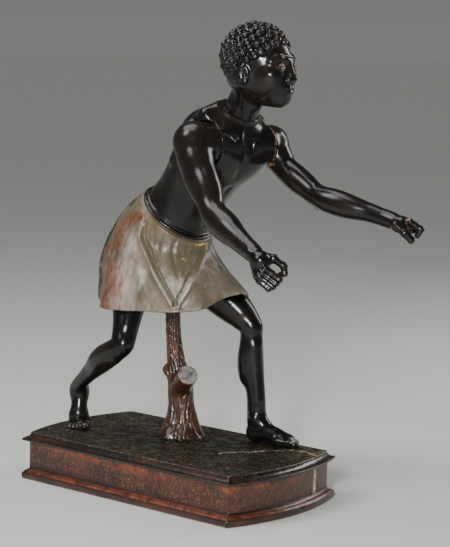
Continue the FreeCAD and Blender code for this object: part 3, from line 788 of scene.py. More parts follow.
def build_kilt():
    turns, downs = 560, 138
    u = np.linspace(0, 360, turns, endpoint=False)[None, :]
    v = np.linspace(0, 1, downs)[:, None]
    u, v = np.broadcast_arrays(u, v)
    base = kilt_point(u, v)
    relief, a, b, inside, groove = kilt_fields(u, v, base)
    # rolled rim with a cut groove under it
    down = v * RIM_TO_HEM
    relief = relief * smooth(down, 3.0, 9.0)
    relief += 0.9 * np.exp(-((down - 1.3) / 1.1) ** 2)
    relief -= 1.0 * np.exp(-((down - 4.0) / 1.1) ** 2)
    lift = (19 * bump_at(u, 80, 72) + 10 * bump_at(u, 244, 48)
            + 1.2 * np.sin(np.radians(5 * u)) + 0.6 * np.sin(np.radians(11 * u)))
    shrink = lift / 33.0 * 0.33
    outer = kilt_point(u, v * (1 - shrink * v ** 2))
    centre = kilt_frame(v * (1 - shrink * v ** 2))[0]
    way = outer - centre
    way = way / np.linalg.norm(way, axis=-1, keepdims=True)
    outer = outer + way * relief[..., None]
    rings = []
    names = ("bole", "gold", "dirt_and_shade", "silver_and_sheen", "pink", "olive", "cream")

    # lid under the torso, then round over the rim
    first, inward = outer[0], -way[0]
    for in_by, up_by in ((3.6, -CAP_DROP), (3.0, -CAP_DROP), (2.6, -0.6),
                         (1.7, 0.35), (0.7, 0.35)):
        rings.append(first + inward * in_by + WAIST_UP * up_by)
    rings += list(outer)
    last, out_last = outer[-1], way[-1]
    down_way = vec(0, 0, -1)
    wall = 5.0
    for share_in, drop in ((0.12, 0.7), (0.5, 1.1), (0.88, 0.7)):
        rings.append(last - out_last * wall * share_in + down_way * drop)
    rings.append(last - out_last * wall)
    for row, more in ((-9, 0.6), (-22, 1.6)):
        r = outer[row] - way[row] * (wall + more)
        if row == -22:
            r = r * vec(1, 1, 0) + vec(0, 0, CEILING_Z)
        else:
            r[:, 2] = np.minimum(np.maximum(r[:, 2], last[:, 2] + 1.5),
                                 CEILING_Z - 2)
        rings.append(r)
    rings = np.array(rings)
    noise_u = 9 * value_noise(base, 17.0, 31) + 4 * value_noise(base, 5.0, 32)
    uu = u + noise_u
    wide = value_noise(base, 9.0, 33)
    f = {}
    band = np.interp(v, [0.0, 0.2, 0.5, 0.7, 0.95, 1.0],
                     [184, 197, 208, 204, 204, 206])
    f["bole"] = 0.82 * np.exp(-((uu - band - 3) / 11.5) ** 2) * smooth(
        v, 0.04, 0.2)
    f["bole"] += 0.12 * np.exp(-((uu - band) / 6.0) ** 2)
    f["bole"] += 0.30 * bump_at(uu, 186, 26) * (1 - smooth(v, 0.2, 0.4))
    f["bole"] += 0.8 * np.exp(-((b + 0.5) / 1.9) ** 2) * (
        1 - smooth(v, 0.42, 0.66)) * smooth(v, 0.10, 0.2)
    f["bole"] += 0.45 * smooth(v, 0.98, 0.995)
    f["bole"] += 0.30 * bump_at(uu, 330, 60) * smooth(wide, 0, 0.4)
    f["gold"] = (1.0 * bump_at(u, 86, 26) * np.exp(-((v - 0.125) / 0.05) ** 2)
                 + 0.55 * bump_at(u, 112, 24) * np.exp(-((v - 0.13) / 0.03) ** 2)
                 + 0.3 * bump_at(u, 190, 30) * np.exp(-((v - 0.16) / 0.03) ** 2))
    # painted shade: a dark band down the left side, the fold grooves, the groove under the rim and
    # the band below it; also two dark patches near the right side
    f["dirt_and_shade"] = (0.92 * smooth(uu, 218, 231) * (1 - smooth(uu, 262, 320))
                 * smooth(v, 0.02, 0.2)
                 + groove * 0.10
                 + 1.0 * np.exp(-((down - 4.2) / 1.2) ** 2)
                 + 0.40 * np.exp(-((down - 9.0) / 5.0) ** 2)
                 + 1.05 * np.exp(-((uu - 75) / 9) ** 2) * np.exp(
                     -((v - 0.42) / 0.17) ** 2)
                 + 0.45 * np.exp(-((uu - 58) / 10) ** 2) * smooth(v, 0.2, 0.5))
    # painted sheen: bright over the lower front panel between the folds, beside the left fold high
    # up, and along both fold ridges
    f["silver_and_sheen"] = (inside * smooth(v, 0.45, 0.75)
                   + 0.7 * bump_at(uu, 180, 22) * smooth(v, 0.2, 0.45)
                   + 0.8 * np.exp(-(a / 1.3) ** 2) * smooth(v, 0.15, 0.3)
                   + 0.8 * np.exp(-(b / 1.2) ** 2) * smooth(v, 0.5, 0.7))
    f["pink"] = (bump_at(uu, 166, 30) * (1 - smooth(v, 0.22, 0.45))
                 + 0.7 * bump_at(uu, 196, 26) * smooth(v, 0.4, 0.8)
                 + 0.15 * bump_at(uu, 80, 30) * smooth(v, 0.7, 0.9))
    # partly painted shade: more olive in the fold grooves and near both side edges
    f["olive"] = (0.75 * inside * (1 - smooth(v, 0.45, 0.75))
                  + 0.55 * groove + 0.95 * bump_at(uu, 64, 30)
                  + 0.5 * bump_at(uu, 222, 20)
                  + 0.4 * bump_at(uu, 300, 70))
    f["cream"] = np.zeros_like(u)
    for u0, v0, u1, v1 in ((139, .26, 138, .32), (131, .33, 127, .37),
                           (119, .30, 120, .37), (122, .41, 117, .45),
                           (134, .19, 133, .23), (108, .20, 109, .26)):
        line = kilt_point(np.linspace(u0, u1, 9), np.linspace(v0, v1, 9))
        f["cream"] += 0.62 * np.exp(-(gap_to(base, line) / 0.9) ** 2)
    layers = {}
    before, after = 5, 6
    for key in names:
        grid = f[key]
        top = np.repeat(grid[:1], before, 0)
        low = np.repeat(grid[-1:], after, 0)
        layers[key] = np.concatenate([top, grid, low]).ravel()
    # painted shade: the hem's underside and the whole inside of the kilt made dark
    layers["dirt_and_shade"][-3 * turns:] = 1.2
    layers["dirt_and_shade"][:before * turns] = 0.15
    count = len(rings)
    points = rings.reshape(-1, 3)
    k, j = np.meshgrid(np.arange(count - 1), np.arange(turns), indexing="ij")
    n = (j + 1) % turns
    quads = np.stack([k * turns + j, (k + 1) * turns + j,
                      (k + 1) * turns + n, k * turns + n], -1).reshape(-1, 4)
    top_mid = rings[0].mean(0)
    low_mid = rings[-1].mean(0)
    points = np.vstack([points, top_mid, low_mid])
    faces = quads.tolist()
    t, l = len(points) - 2, len(points) - 1
    faces += [[i, (i + 1) % turns, t] for i in range(turns)]
    start = (count - 1) * turns
    faces += [[start + (i + 1) % turns, start + i, l] for i in range(turns)]
    for key in names:
        layers[key] = np.append(layers[key], [0, 0])
    make_piece("kilt_carved", points, faces, KILT_PAINT,
               ["kilt"], layers)


# ---- torso ----------------------------------------------------------------
# (part of the way from waist to neck, half width, half depth, set forward)
TORSO = [(-0.10, 36.0, 35.0, 0.0), (0.0, 37.0, 37.0, 0.0),
         (0.20, 35.5, 34.5, 1.0), (0.42, 39.5, 35.5, 2.5),
         (0.62, 44.0, 38.0, 4.5), (0.78, 43.0, 36.0, 4.0),
         (0.90, 38.5, 28.0, 0.5), (0.99, 26.5, 19.5, 0.0),
         (1.07, 17.5, 16.5, 1.5)]
SPINE = NECK_BASE - WAIST
SPINE_LONG = np.linalg.norm(SPINE)
LEAN = unit(SPINE)
HIP_SIDE, SHOULDER_SIDE = vec(0.07, 0.997, 0), vec(0.229, 0.973, 0)
OUT_LEFT = unit(SHOULDER_SIDE)


def torso_axes(t):
    share = np.clip(np.asarray(t) / 0.8, 0, 1)[..., None]
    side = HIP_SIDE * (1 - share) + SHOULDER_SIDE * share
    side = side / np.linalg.norm(side, axis=-1, keepdims=True)
    side = side - LEAN * (side @ LEAN)[..., None]
    side = side / np.linalg.norm(side, axis=-1, keepdims=True)
    return side, np.cross(side, LEAN)


def body_point(t, left, ahead):
    """Point in the trunk: along the spine, to its left, to its front."""
    side, front = torso_axes(np.array(float(t)))
    return WAIST + SPINE * t + side * left + front * ahead


def torso_form():
    rows = eased(TORSO, 8)

    def distance(x, y, z):
        x, y, z = np.broadcast_arrays(x, y, z)
        rel = np.stack([x - WAIST[0], y - WAIST[1], z - WAIST[2]], -1)
        t = (rel @ LEAN) / SPINE_LONG
        side, front = torso_axes(t)
        s = (rel * side).sum(-1)
        d = (rel * front).sum(-1) - np.interp(t, rows[:, 0], rows[:, 3])
        wide = np.interp(t, rows[:, 0], rows[:, 1])
        deep = np.interp(t, rows[:, 0], rows[:, 2])
        near = np.sqrt((s / wide) ** 2 + (d / deep) ** 2)
        steep = np.sqrt((s / wide ** 2) ** 2 + (d / deep ** 2) ** 2)
        made = near * (near - 1) / np.maximum(steep, 1e-4)
        cap = np.maximum(-0.10 - t, t - 1.07) * SPINE_LONG
        return np.maximum(made, cap)
    return vec(-60, -40, 240), vec(90, 75, 400), distance


def torso_clay():
    clay = Clay((-62, -32, 246), (100, 68, 400), 0.83)
    clay.add(torso_form())
    egg_axes = np.array([LEAN, *torso_axes(np.array(0.7))])
    clay.add(log_end(RIGHT_SEAM + OUT_LEFT * 26, RIGHT_SEAM, 19, 22.5), 7)
    clay.add(log_end(LEFT_SEAM - OUT_LEFT * 26, LEFT_SEAM, 18, 20.6), 7)
    for s in (-1, 1):
        # chest, shoulder blades, side muscle from armpit to ribs
        clay.add(egg(body_point(0.69, 19 * s, 24.5), (19, 18, 14.5), egg_axes), 9)
        clay.add(egg(body_point(0.70, 20 * s, -20), (21, 14, 13.5), egg_axes), 8)
        clay.cut(bone(body_point(0.58, 8 * s, -37.0), body_point(0.84, 9 * s, -31.5),
                      1.4, 1.4), 6)
        clay.add(bone(body_point(0.78, 39 * s, -9), body_point(0.46, 36 * s, -10),
                      5.5, 3.0), 9)
        clay.add(egg(body_point(0.64, 19 * s, 39.3), (1.5, 1.5, 1.2), egg_axes), 1.5)
        clay.add(bone(body_point(1.01, 9 * s, -5), body_point(0.93, 34 * s, -4),
                      8, 6.5), 9)
        clay.add(bone(body_point(0.955, 7 * s, 15.6), body_point(0.925, 24 * s, 14.6),
                      2.4, 1.8), 4)
        clay.cut(bone(body_point(0.895, 13 * s, 27.3), body_point(0.885, 28 * s, 22),
                      1.0, 1.0), 6)
    clay.cut(bone(body_point(0.08, 0, -37.5), body_point(0.88, 0, -32), 1.8, 1.4), 7)
    clay.cut(bone(body_point(0.12, 0, 38), body_point(0.50, 0, 41.5), 0.9, 1.2), 6)
    clay.cut(bone(body_point(0.62, 0, 45.5), body_point(0.84, 0, 37), 1.6, 1.4), 6)
    clay.cut(egg(body_point(0.14, 0, 36.5), (2.6, 1.5, 3.0), egg_axes), 2)
    # neckline: a fine raised roll with a groove under it, round the neck
    side, front = torso_axes(np.array(0.95))
    loop = [WAIST + SPINE * (0.985 - 0.045 * math.sin(a)) + side * 20.5 * math.cos(a)
            + front * (18.6 * math.sin(a) + 0.8)
            for a in np.radians(np.arange(-180, 181, 6))]
    chain(clay.add, loop, 1.5, 1.6)
    for p, q in zip(loop, loop[1:]):
        out = unit((p + q) / 2 - (WAIST + SPINE * 0.97))
        clay.cut(bone(p + out * 2.3 - LEAN * 1.6, q + out * 2.3 - LEAN * 1.6,
                      0.7, 0.7), 1.2)
    # two fine beads just above the kilt's rim
    for lift, radius, thick in ((1.6, 38.4, 1.7), (5.0, 37.3, 1.1)):
        ring = [WAIST + WAIST_UP * lift
                + vec(math.cos(math.radians(38)), 0, -math.sin(math.radians(38)))
                * (radius + 0.4) * math.sin(a) + vec(0, 1, 0) * radius * math.cos(a)
                for a in np.radians(np.arange(0, 361, 4))]
        chain(clay.add, ring, thick, 0.4)
    for seam, out in ((RIGHT_SEAM, -OUT_LEFT), (LEFT_SEAM, OUT_LEFT)):
        clay.cut(log_end(seam, seam + out * 60, SEAT_R, SEAT_R), 0.0)
    clay.keep_side(WAIST + SPINE * NECK_SEAM, -LEAN)
    clay.keep_side(WAIST - WAIST_UP * (CAP_DROP - 0.05), WAIST_UP)
    return clay


def seat_mask(points, normals):
    """Bare wood on the seat and rim where the left arm's glue has let go."""
    rel = points - LEFT_SEAM
    out = rel @ OUT_LEFT
    off = np.linalg.norm(rel - out[:, None] * OUT_LEFT, axis=1)
    ragged = 0.8 * value_noise(points, 3.0, 61)
    hit = (1 - smooth(np.abs(out), 0.6 + ragged * 0.6, 1.3 + ragged))
    hit = hit * smooth(value_noise(points, 5.0, 62), -0.55, -0.25)
    rim = smooth(off, SEAT_R - 5, SEAT_R - 3) * (1 - smooth(
        off, SEAT_R + 1.6 + ragged, SEAT_R + 2.6 + ragged))
    return np.clip(hit * rim, 0, 1)


# ---- limbs ----------------------------------------------------------------
def limb_form(stations, side):
    """Round limb swept smoothly along its stations, oval along side."""
    rows = eased(stations, 24)
    low = (rows[:, :3] - rows[:, 3:4] - 4).min(0)
    high = (rows[:, :3] + rows[:, 3:4] + 4).max(0)
    last = len(rows) - 1.001
    side = unit(side)

    def distance(x, y, z):
        coarse = [axis.ravel()[::5] for axis in (x, y, z)]
        grid = np.stack(np.meshgrid(*coarse, indexing="ij"), -1)
        flat = grid.reshape(-1, 3)
        gap = ((flat[:, None] - rows[None, ::3, :3]) ** 2).sum(-1)
        best = gap.argmin(1)
        reach = np.sqrt(gap.min(1)) - rows[best * 3, 3]
        shape = grid.shape[:3]
        full = (x.size, y.size, z.size)
        start = spread((best * 3.0).reshape(shape), full)
        close = spread(reach.reshape(shape), full) < 6
        made = np.full(full, FAR, np.float32)
        p = np.stack([np.broadcast_to(k, full)[close] for k in (x, y, z)], -1)
        at = start[close]
        for _ in range(3):
            at = np.clip(at, 0, last)
            cell = at.astype(int)
            run = rows[cell + 1, :3] - rows[cell, :3]
            here = rows[cell, :3] + run * (at - cell)[:, None]
            at = at + ((p - here) * run).sum(1) / (run ** 2).sum(1)
        at = np.clip(at, 0, last)
        cell = at.astype(int)
        part = (at - cell)[:, None]
        row = rows[cell] * (1 - part) + rows[cell + 1] * part
        run = unit_rows(rows[cell + 1, :3] - rows[cell, :3])
        across = unit_rows(side - run * (run @ side)[:, None])
        off = p - row[:, :3]
        aside = (off * across).sum(1)
        square = (off ** 2).sum(1) - aside ** 2
        deep, wide = row[:, 3], row[:, 4]
        near_it = np.sqrt(square / deep ** 2 + aside ** 2 / wide ** 2)
        steep = np.sqrt(square / deep ** 4 + aside ** 2 / wide ** 4)
        found = near_it * (near_it - 1) / np.maximum(steep, 1e-3)
        made[close] = np.where(near_it < 0.3, -deep * 0.7, found)
        return made
    return low, high, distance


def spread(coarse, full):
    """Coarse block, every fifth cell, filled in between."""
    for axis, count in enumerate(full):
        coarse = np.moveaxis(coarse, axis, 0)
        at = np.minimum(np.arange(count) / 5.0, coarse.shape[0] - 1)
        cell = np.minimum(at.astype(int), max(coarse.shape[0] - 2, 0))
        part = (at - cell).astype(np.float32).reshape(
            (-1,) + (1,) * (coarse.ndim - 1))
        after = np.minimum(cell + 1, coarse.shape[0] - 1)
        coarse = coarse[cell] * (1 - part) + coarse[after] * part
        coarse = np.moveaxis(coarse, 0, axis)
    return coarse


def along(stations, part):
    """Point, and way along, at a fraction of the stations' own count."""
    rows = eased(stations, 10)
    place = part * (len(rows) - 1)
    k = min(int(place), len(rows) - 2)
    here = rows[k] + (rows[k + 1] - rows[k]) * (place - k)
    return here[:3], unit(rows[k + 1][:3] - rows[k][:3])


def long_egg(middle, way, across, long, wide, deep):
    """Egg lying along way, wide along across."""
    way = unit(way)
    across = unit(across - way * np.dot(across, way))
    return egg(middle, (long, wide, deep),
               np.array([way, across, np.cross(way, across)]))


RIGHT_ARM = [(46, -35, 359, 20, 19.5), (50.5, -38, 348, 19.5, 18.5),
             (57, -42, 338, 18.5, 17), (70, -48, 321, 15.5, 15),
             (84, -54, 304, 13.5, 13), (94, -58, 293, 13.2, 13),
             (105, -61, 286.5, 13.7, 13), (118, -65, 281, 13.2, 12),
             (138, -71, 272, 10.8, 10), (157, -76.5, 264, 9.2, 8.5)]
LEFT_ARM = [(64.5, 62, 356.3, 17.2, 17.2), (71, 61.5, 347.1, 15.9, 15.6),
            (84, 60, 333.8, 12.8, 12.5), (100.1, 57.5, 324.9, 12, 11.8),
            (125.7, 53, 311.5, 11.4, 11.2), (140.8, 50.5, 306.6, 11.6, 11.3),
            (151, 51, 304.3, 12.2, 11.6), (166, 53.5, 301.1, 11.4, 10.9),
            (190, 59, 296, 9.5, 8.9), (214, 63.5, 289.6, 8.2, 8)]
# knuckle, middle joint, tip and radius, forefinger first
RIGHT_FINGERS = [
    (vec(178.1, -84.0, 252.4), vec(189.0, -76.2, 242.2), vec(182.2, -66.5, 245.2), 3.1),
    (vec(176.3, -86.0, 248.8), vec(187.7, -79.1, 238.9), vec(179.0, -69.7, 241.8), 3.1),
    (vec(174.8, -88.0, 244.7), vec(186.0, -81.9, 235.7), vec(176.4, -73.8, 238.6), 3.0),
    (vec(174.6, -88.2, 240.6), vec(183.1, -84.3, 233.4), vec(174.2, -77.4, 236.4), 2.7)]
RIGHT_THUMB = [vec(168, -78, 262), vec(178.9, -72.3, 260.2),
               vec(185.6, -66.3, 253.5), vec(187.4, -66.4, 246.5)]
LEFT_FOREFINGER = (vec(237.4, 61.0, 290.6), vec(246.2, 66.7, 283.6),
                   vec(243.4, 64.8, 277.4))
LEFT_FINGER_STEP = vec(-2.9, 4.5, -0.7)
LEFT_THUMB = [vec(227.0, 52.5, 287.0), vec(236.2, 54.0, 280.3),
              vec(241.2, 58.0, 273.6)]


def add_finger(clay, knuckle, bend, tip, r0, r1):
    """Finger with a little waist between its joints."""
    mid = (knuckle + bend) / 2
    clay.add(bone(knuckle, mid, r0 * 1.08, r0 * 1.00), 0.8)
    clay.add(bone(mid, bend, r0 * 1.00, r0 * 1.03), 0.8)
    far = (bend + tip) / 2
    clay.add(bone(bend, far, r0 * 1.03, r0 * 0.95), 0.6)
    clay.add(bone(far, tip, r0 * 0.95, r1 * 1.02), 0.6)


def right_arm_clay():
    clay = Clay((24, -96, 228), (196, -10, 382), 0.6)
    top = vec(*RIGHT_ARM[0][:3])
    clay.add(limb_form(RIGHT_ARM, -OUT_LEFT))
    clay.add(egg(top, (20.4, 20.4, 20.4)), 3)
    clay.add(log_end(RIGHT_SEAM + OUT_LEFT * 2, top, 21.5, 19.4), 3)
    way = along(RIGHT_ARM, 0.33)[1]
    front = unit(vec(0.77, 0, 0.63) - way * way.dot(vec(0.77, 0, 0.63)))
    out = np.cross(way, front)
    out = out if out.dot(-OUT_LEFT) > 0 else -out
    # shoulder cap, upper arm muscles, elbow, forearm, wrist bone
    clay.add(long_egg(vec(54, -45, 345), way, front, 23, 15, 12.5), 5)
    clay.add(long_egg(vec(74, -49, 320) + front * 3.4, way, out, 22, 11, 11), 7)
    clay.add(long_egg(vec(68, -48, 322) - front * 4.2, way, out, 23, 11.5, 11), 7)
    clay.add(egg(vec(89.5, -57.5, 287.0), (6, 5, 5.5)), 6)
    fore, run = along(RIGHT_ARM, 0.70)
    lift = unit(vec(0, 0, 1) - run * run[2])
    clay.add(long_egg(fore + lift * 2.6, run, out, 24, 10.4, 9.6), 7)
    clay.add(long_egg(fore - lift * 2.6 + run * 2, run, out, 22, 10.4, 9.4), 7)
    clay.add(egg(vec(158, -83.0, 265.5), (3.4, 3.0, 3.2)), 3)
    # palm and back of the hand
    clay.add(bone((153, -75.5, 266), (171, -81.5, 258), 7.6, 8.6), 3)
    clay.add(bone((170.5, -81, 257.5), (171.5, -82.5, 245), 8.8, 7.2), 3)
    for k, (knuckle, bend, tip, r) in enumerate(RIGHT_FINGERS):
        add_finger(clay, knuckle, bend, tip, r, r - 0.5)
        wrist = vec(164, -79.5, 261) + vec(0.4, -1.4, -2.2) * k
        clay.add(bone(wrist, knuckle, 4.2, r * 0.95), 2.2)
    for k, (a, b) in enumerate(zip(RIGHT_THUMB, RIGHT_THUMB[1:])):
        clay.add(bone(a, b, 4.4 - 0.5 * k, 3.8 - 0.5 * k), 1.6)
        clay.add(egg(b, (3.7 - 0.5 * k,) * 3), 1.2)
    clay.add(egg(vec(172, -75.5, 258), (7, 5, 5)), 3)
    clay.keep_side(RIGHT_SEAM, -OUT_LEFT)
    return clay


def left_arm_clay():
    clay = Clay((40, 30, 262), (256, 92, 382), 0.62)
    top = vec(*LEFT_ARM[0][:3])
    clay.add(limb_form(LEFT_ARM, OUT_LEFT))
    clay.add(egg(top, (17.4, 17.4, 17.4)), 3)
    clay.add(log_end(LEFT_SEAM - OUT_LEFT * 2, top, 18.7, 16.6), 3)
    way = along(LEFT_ARM, 0.33)[1]
    lift = unit(vec(0, 0, 1) - way * way[2])
    side = unit(np.cross(way, lift))
    clay.add(long_egg(vec(73, 60, 345), way, side, 19, 12, 13), 5)
    clay.add(long_egg(vec(106, 56, 321) + lift * 2.2, way, side, 23, 9, 9), 7)
    clay.add(long_egg(vec(100, 57.5, 324) - lift * 2.8, way, side, 24, 9, 9), 7)
    clay.add(egg(vec(134, 53.0, 299.0), (5.5, 5, 5)), 4)
    fore, run = along(LEFT_ARM, 0.74)
    up_way = unit(vec(0, 0, 1) - run * run[2])
    side = unit(np.cross(run, up_way))
    clay.add(long_egg(fore + up_way * 1.8, run, side, 27, 9.2, 8.6), 7)
    clay.add(long_egg(fore - up_way * 2.0 + run * 2, run, side, 25, 9, 8.2), 7)
    clay.add(egg(vec(213, 69.8, 292), (3.2, 2.8, 3.2)), 3)
    clay.add(bone((209, 63, 291), (228, 61.5, 287), 7.4, 8.0), 3)
    clay.add(bone((227, 62, 286.5), (233, 68, 285), 7.8, 7.4), 3)
    for k in range(4):
        knuckle, bend, tip = [p + LEFT_FINGER_STEP * k for p in LEFT_FOREFINGER]
        clay.add(bone(vec(229, 63, 286) + LEFT_FINGER_STEP * (0.6 * k),
                      knuckle, 6.2, 3.3 - 0.15 * k), 2.0)
        add_finger(clay, knuckle, bend, tip, 3.3 - 0.15 * k, 2.6)
    for k, (a, b) in enumerate(zip(LEFT_THUMB, LEFT_THUMB[1:])):
        clay.add(bone(a, b, 4.6 - 0.6 * k, 3.8 - 0.5 * k), 1.6)
        clay.add(egg(b, (4.1 - 0.5 * k,) * 3), 1.2)
    clay.add(egg(vec(227, 56, 285), (7, 5.5, 6)), 3)
    clay.keep_side(LEFT_SEAM + OUT_LEFT * 0.8, OUT_LEFT)
    return clay


RIGHT_LEG = [(-45, -11, 226, 19, 18.5), (-46, -15, 209, 18.6, 18),
             (-47.5, -23, 188, 17.2, 16.8), (-42, -34, 168, 13.8, 13.4),
             (-39.5, -42, 150, 12.4, 12), (-50.5, -43, 140.5, 11.9, 11.7),
             (-72, -37.5, 128.5, 12, 11.6), (-92, -31, 115, 9.2, 8.9),
             (-107.5, -26, 103.5, 7.8, 7.6), (-119, -21.5, 94.5, 8.2, 7.8),
             (-125.5, -17, 88, 8.4, 7.8)]
LEFT_LEG = [(-30, 43, 222, 22, 20), (-13, 45, 212, 22, 20.5),
            (5, 49.5, 200.5, 20.7, 20), (22.5, 56, 187, 19.2, 18.4),
            (36.5, 59, 175.8, 15.4, 15), (45, 60, 166, 12.6, 12.2),
            (47, 60, 153, 11.4, 11.2), (47.8, 60, 136, 12.4, 12),
            (49.6, 60, 121, 12, 11.6), (54, 59.5, 105, 9.9, 9.5),
            (57.4, 59, 87, 8.9, 8.7), (58, 59, 70, 9.2, 9)]


def add_toes(clay, ball, ahead, across, pitch=4.9, scale=1.0):
    nails = []
    for k in range(5):
        radius = (4.6, 3.5, 3.3, 3.1, 2.9)[k] * scale
        reach = (15, 14.5, 12.5, 10, 7)[k]
        base = ball + across * (pitch * (k - 1.94))
        base[2] = GROUND_Z + radius - 0.5 - 0.1 * k
        tip = base + ahead * reach + across * (0.4 * k - 0.7) - vec(0, 0, 0.3)
        mid = base + (tip - base) * 0.55 + vec(0, 0, 0.5)
        clay.add(bone(base - ahead * 3, mid, radius * 1.0, radius * 0.92), 1.6)
        clay.add(bone(mid, tip, radius * 0.92, radius * 0.94), 1.2)
        nail = tip + ahead * radius * 0.15 + vec(0, 0, radius * 0.93)
        nails.append((nail, radius * (0.78 if k == 0 else 0.50)))
        bed = np.array([ahead, across, vec(0, 0, 1)])
        clay.add(egg(nail - vec(0, 0, 0.35), (radius * 0.72, radius * 0.62,
                                              0.75), bed), 0.2)
    return nails


def right_leg_clay():
    clay = Clay((-150, -72, 47), (-8, 20, 246), 0.65)
    clay.add(limb_form(RIGHT_LEG, vec(0, 1, 0)))
    # kneecap, calf, shin, thigh
    clay.add(egg(vec(-33.0, -44.5, 150), (5.6, 7.0, 8.0), turned(about_y=-10)), 6)
    shin = unit(vec(-107.5, -26, 103.5) - vec(-50.5, -43, 140.5))
    back = unit(vec(0, 0, 1) - shin * shin[2])
    side = unit(np.cross(shin, back))
    clay.add(long_egg(vec(-68, -38.5, 130) + back * 2.6, shin, side, 25, 9.6, 9.6), 7)
    clay.add(bone(vec(-49, -44, 138) - back * 5, vec(-110, -25, 101) - back * 2,
                  5.0, 3.8), 5)
    clay.add(bone(vec(-96, -29.5, 112) + back * 3.4, vec(-125, -15.5, 91), 3.9, 4.0), 4)
    clay.add(bone(vec(-40, -20, 200), vec(-37, -36, 168), 9, 6.8), 8)
    for s in (-1, 1):
        clay.add(egg(vec(-123, -18, 84) + unit(vec(0.8, 0.6, 0)) * 5.0 * s,
                     (3.8, 3.6, 6.0)), 6)
    ahead = unit(vec(0.6, -0.8, 0))
    across = -vec(-ahead[1], ahead[0], 0)
    spin = turned(about_z=-37)
    clay.add(egg(vec(-129.5, -11, 83), (8.6, 8.4, 12.0)), 7)
    clay.add(bone((-123.5, -16.5, 89), (-120, -21.5, 64), 8.2, 8.8), 6)
    clay.add(egg(vec(-119.5, -22, 59), (9.0, 11.0, 11.4), spin), 4)
    clay.cut(egg(vec(-132.0, -17.5, 62), (5, 6, 10), spin), 5)
    for k in range(4):
        start = vec(-122, -20.5, 78) + across * (-2.2 + 1.5 * k)
        end = vec(-118.5, -23, 59.5) + across * (-6.3 + 3.5 * k) + ahead * 1.5
        clay.add(bone(start, end, 3.1, 2.3), 3)
    nails = add_toes(clay, vec(-118.5, -23, 0), ahead, across, 3.8, 0.85)
    clay.keep_side(vec(0, 0, GROUND_Z), vec(0, 0, 1))
    clay.keep_side(vec(0, 0, CEILING_Z), vec(0, 0, -1))
    return clay, nails


def left_leg_clay():
    clay = Clay((-60, 18, 47), (116, 92, 250), 0.65)
    clay.add(limb_form(LEFT_LEG, vec(0, 1, 0)))
    clay.add(egg(vec(50.5, 59.5, 167), (5.8, 8, 8.5), turned(about_y=-8)), 5)
    clay.add(egg(vec(52.5, 59.5, 153), (4.6, 5.5, 6)), 5)
    clay.add(egg(vec(44.0, 57, 131), (8.6, 8.4, 25), turned(about_y=5)), 7)
    clay.add(egg(vec(44.5, 63, 134), (8.6, 8.4, 24), turned(about_y=5)), 7)
    clay.add(bone(vec(54.5, 57.5, 147), vec(60.0, 57.5, 92), 4.6, 3.9), 6)
    clay.add(bone(vec(48.5, 59.5, 104), vec(50.5, 58.5, 68), 4.2, 4.2), 5)
    for s in (-1, 1):
        clay.add(egg(vec(59.0, 59 + 6.6 * s, 75 + s), (4.2, 3.4, 4.4)), 3)
    clay.add(bone(vec(12, 47, 205), vec(35, 56, 183), 10, 7.5), 9)
    ahead = unit(vec(58.3, 13.5, 0))
    across = vec(-ahead[1], ahead[0], 0)
    spin = turned(about_z=13)
    clay.add(egg(vec(57, 58.5, 58.5), (10.6, 9.4, 11), spin), 3)
    clay.add(egg(vec(71, 61.7, 57), (20, 10.6, 9.7), spin), 3)
    clay.add(egg(vec(86, 65.6, 54), (13.5, 13.2, 7.0), spin), 3)
    clay.add(bone((58, 59, 72), (73, 62, 58), 9.6, 7.6), 3)
    clay.cut(egg(vec(72, 51.0, 50), (10, 4.5, 5), spin), 4)
    for k in range(4):
        start = vec(70, 60, 65.0) + across * (-3 + 2.2 * k)
        end = vec(88, 66, 54.5) + across * (-8.2 + 4.6 * k)
        clay.add(bone(start, end, 2.6, 2.4), 2.2)
    nails = add_toes(clay, vec(89.3, 66.2, 0), ahead, across)
    clay.keep_side(vec(0, 0, GROUND_Z), vec(0, 0, 1))
    clay.keep_side(vec(0, 0, CEILING_Z), vec(0, 0, -1))
    return clay, nails


# ---- head -----------------------------------------------------------------
def head_point(forward, left, up):
    c, s = math.cos(FACE_TURN), math.sin(FACE_TURN)
    return HEAD_CENTRE + vec(forward * c - left * s, forward * s + left * c, up)


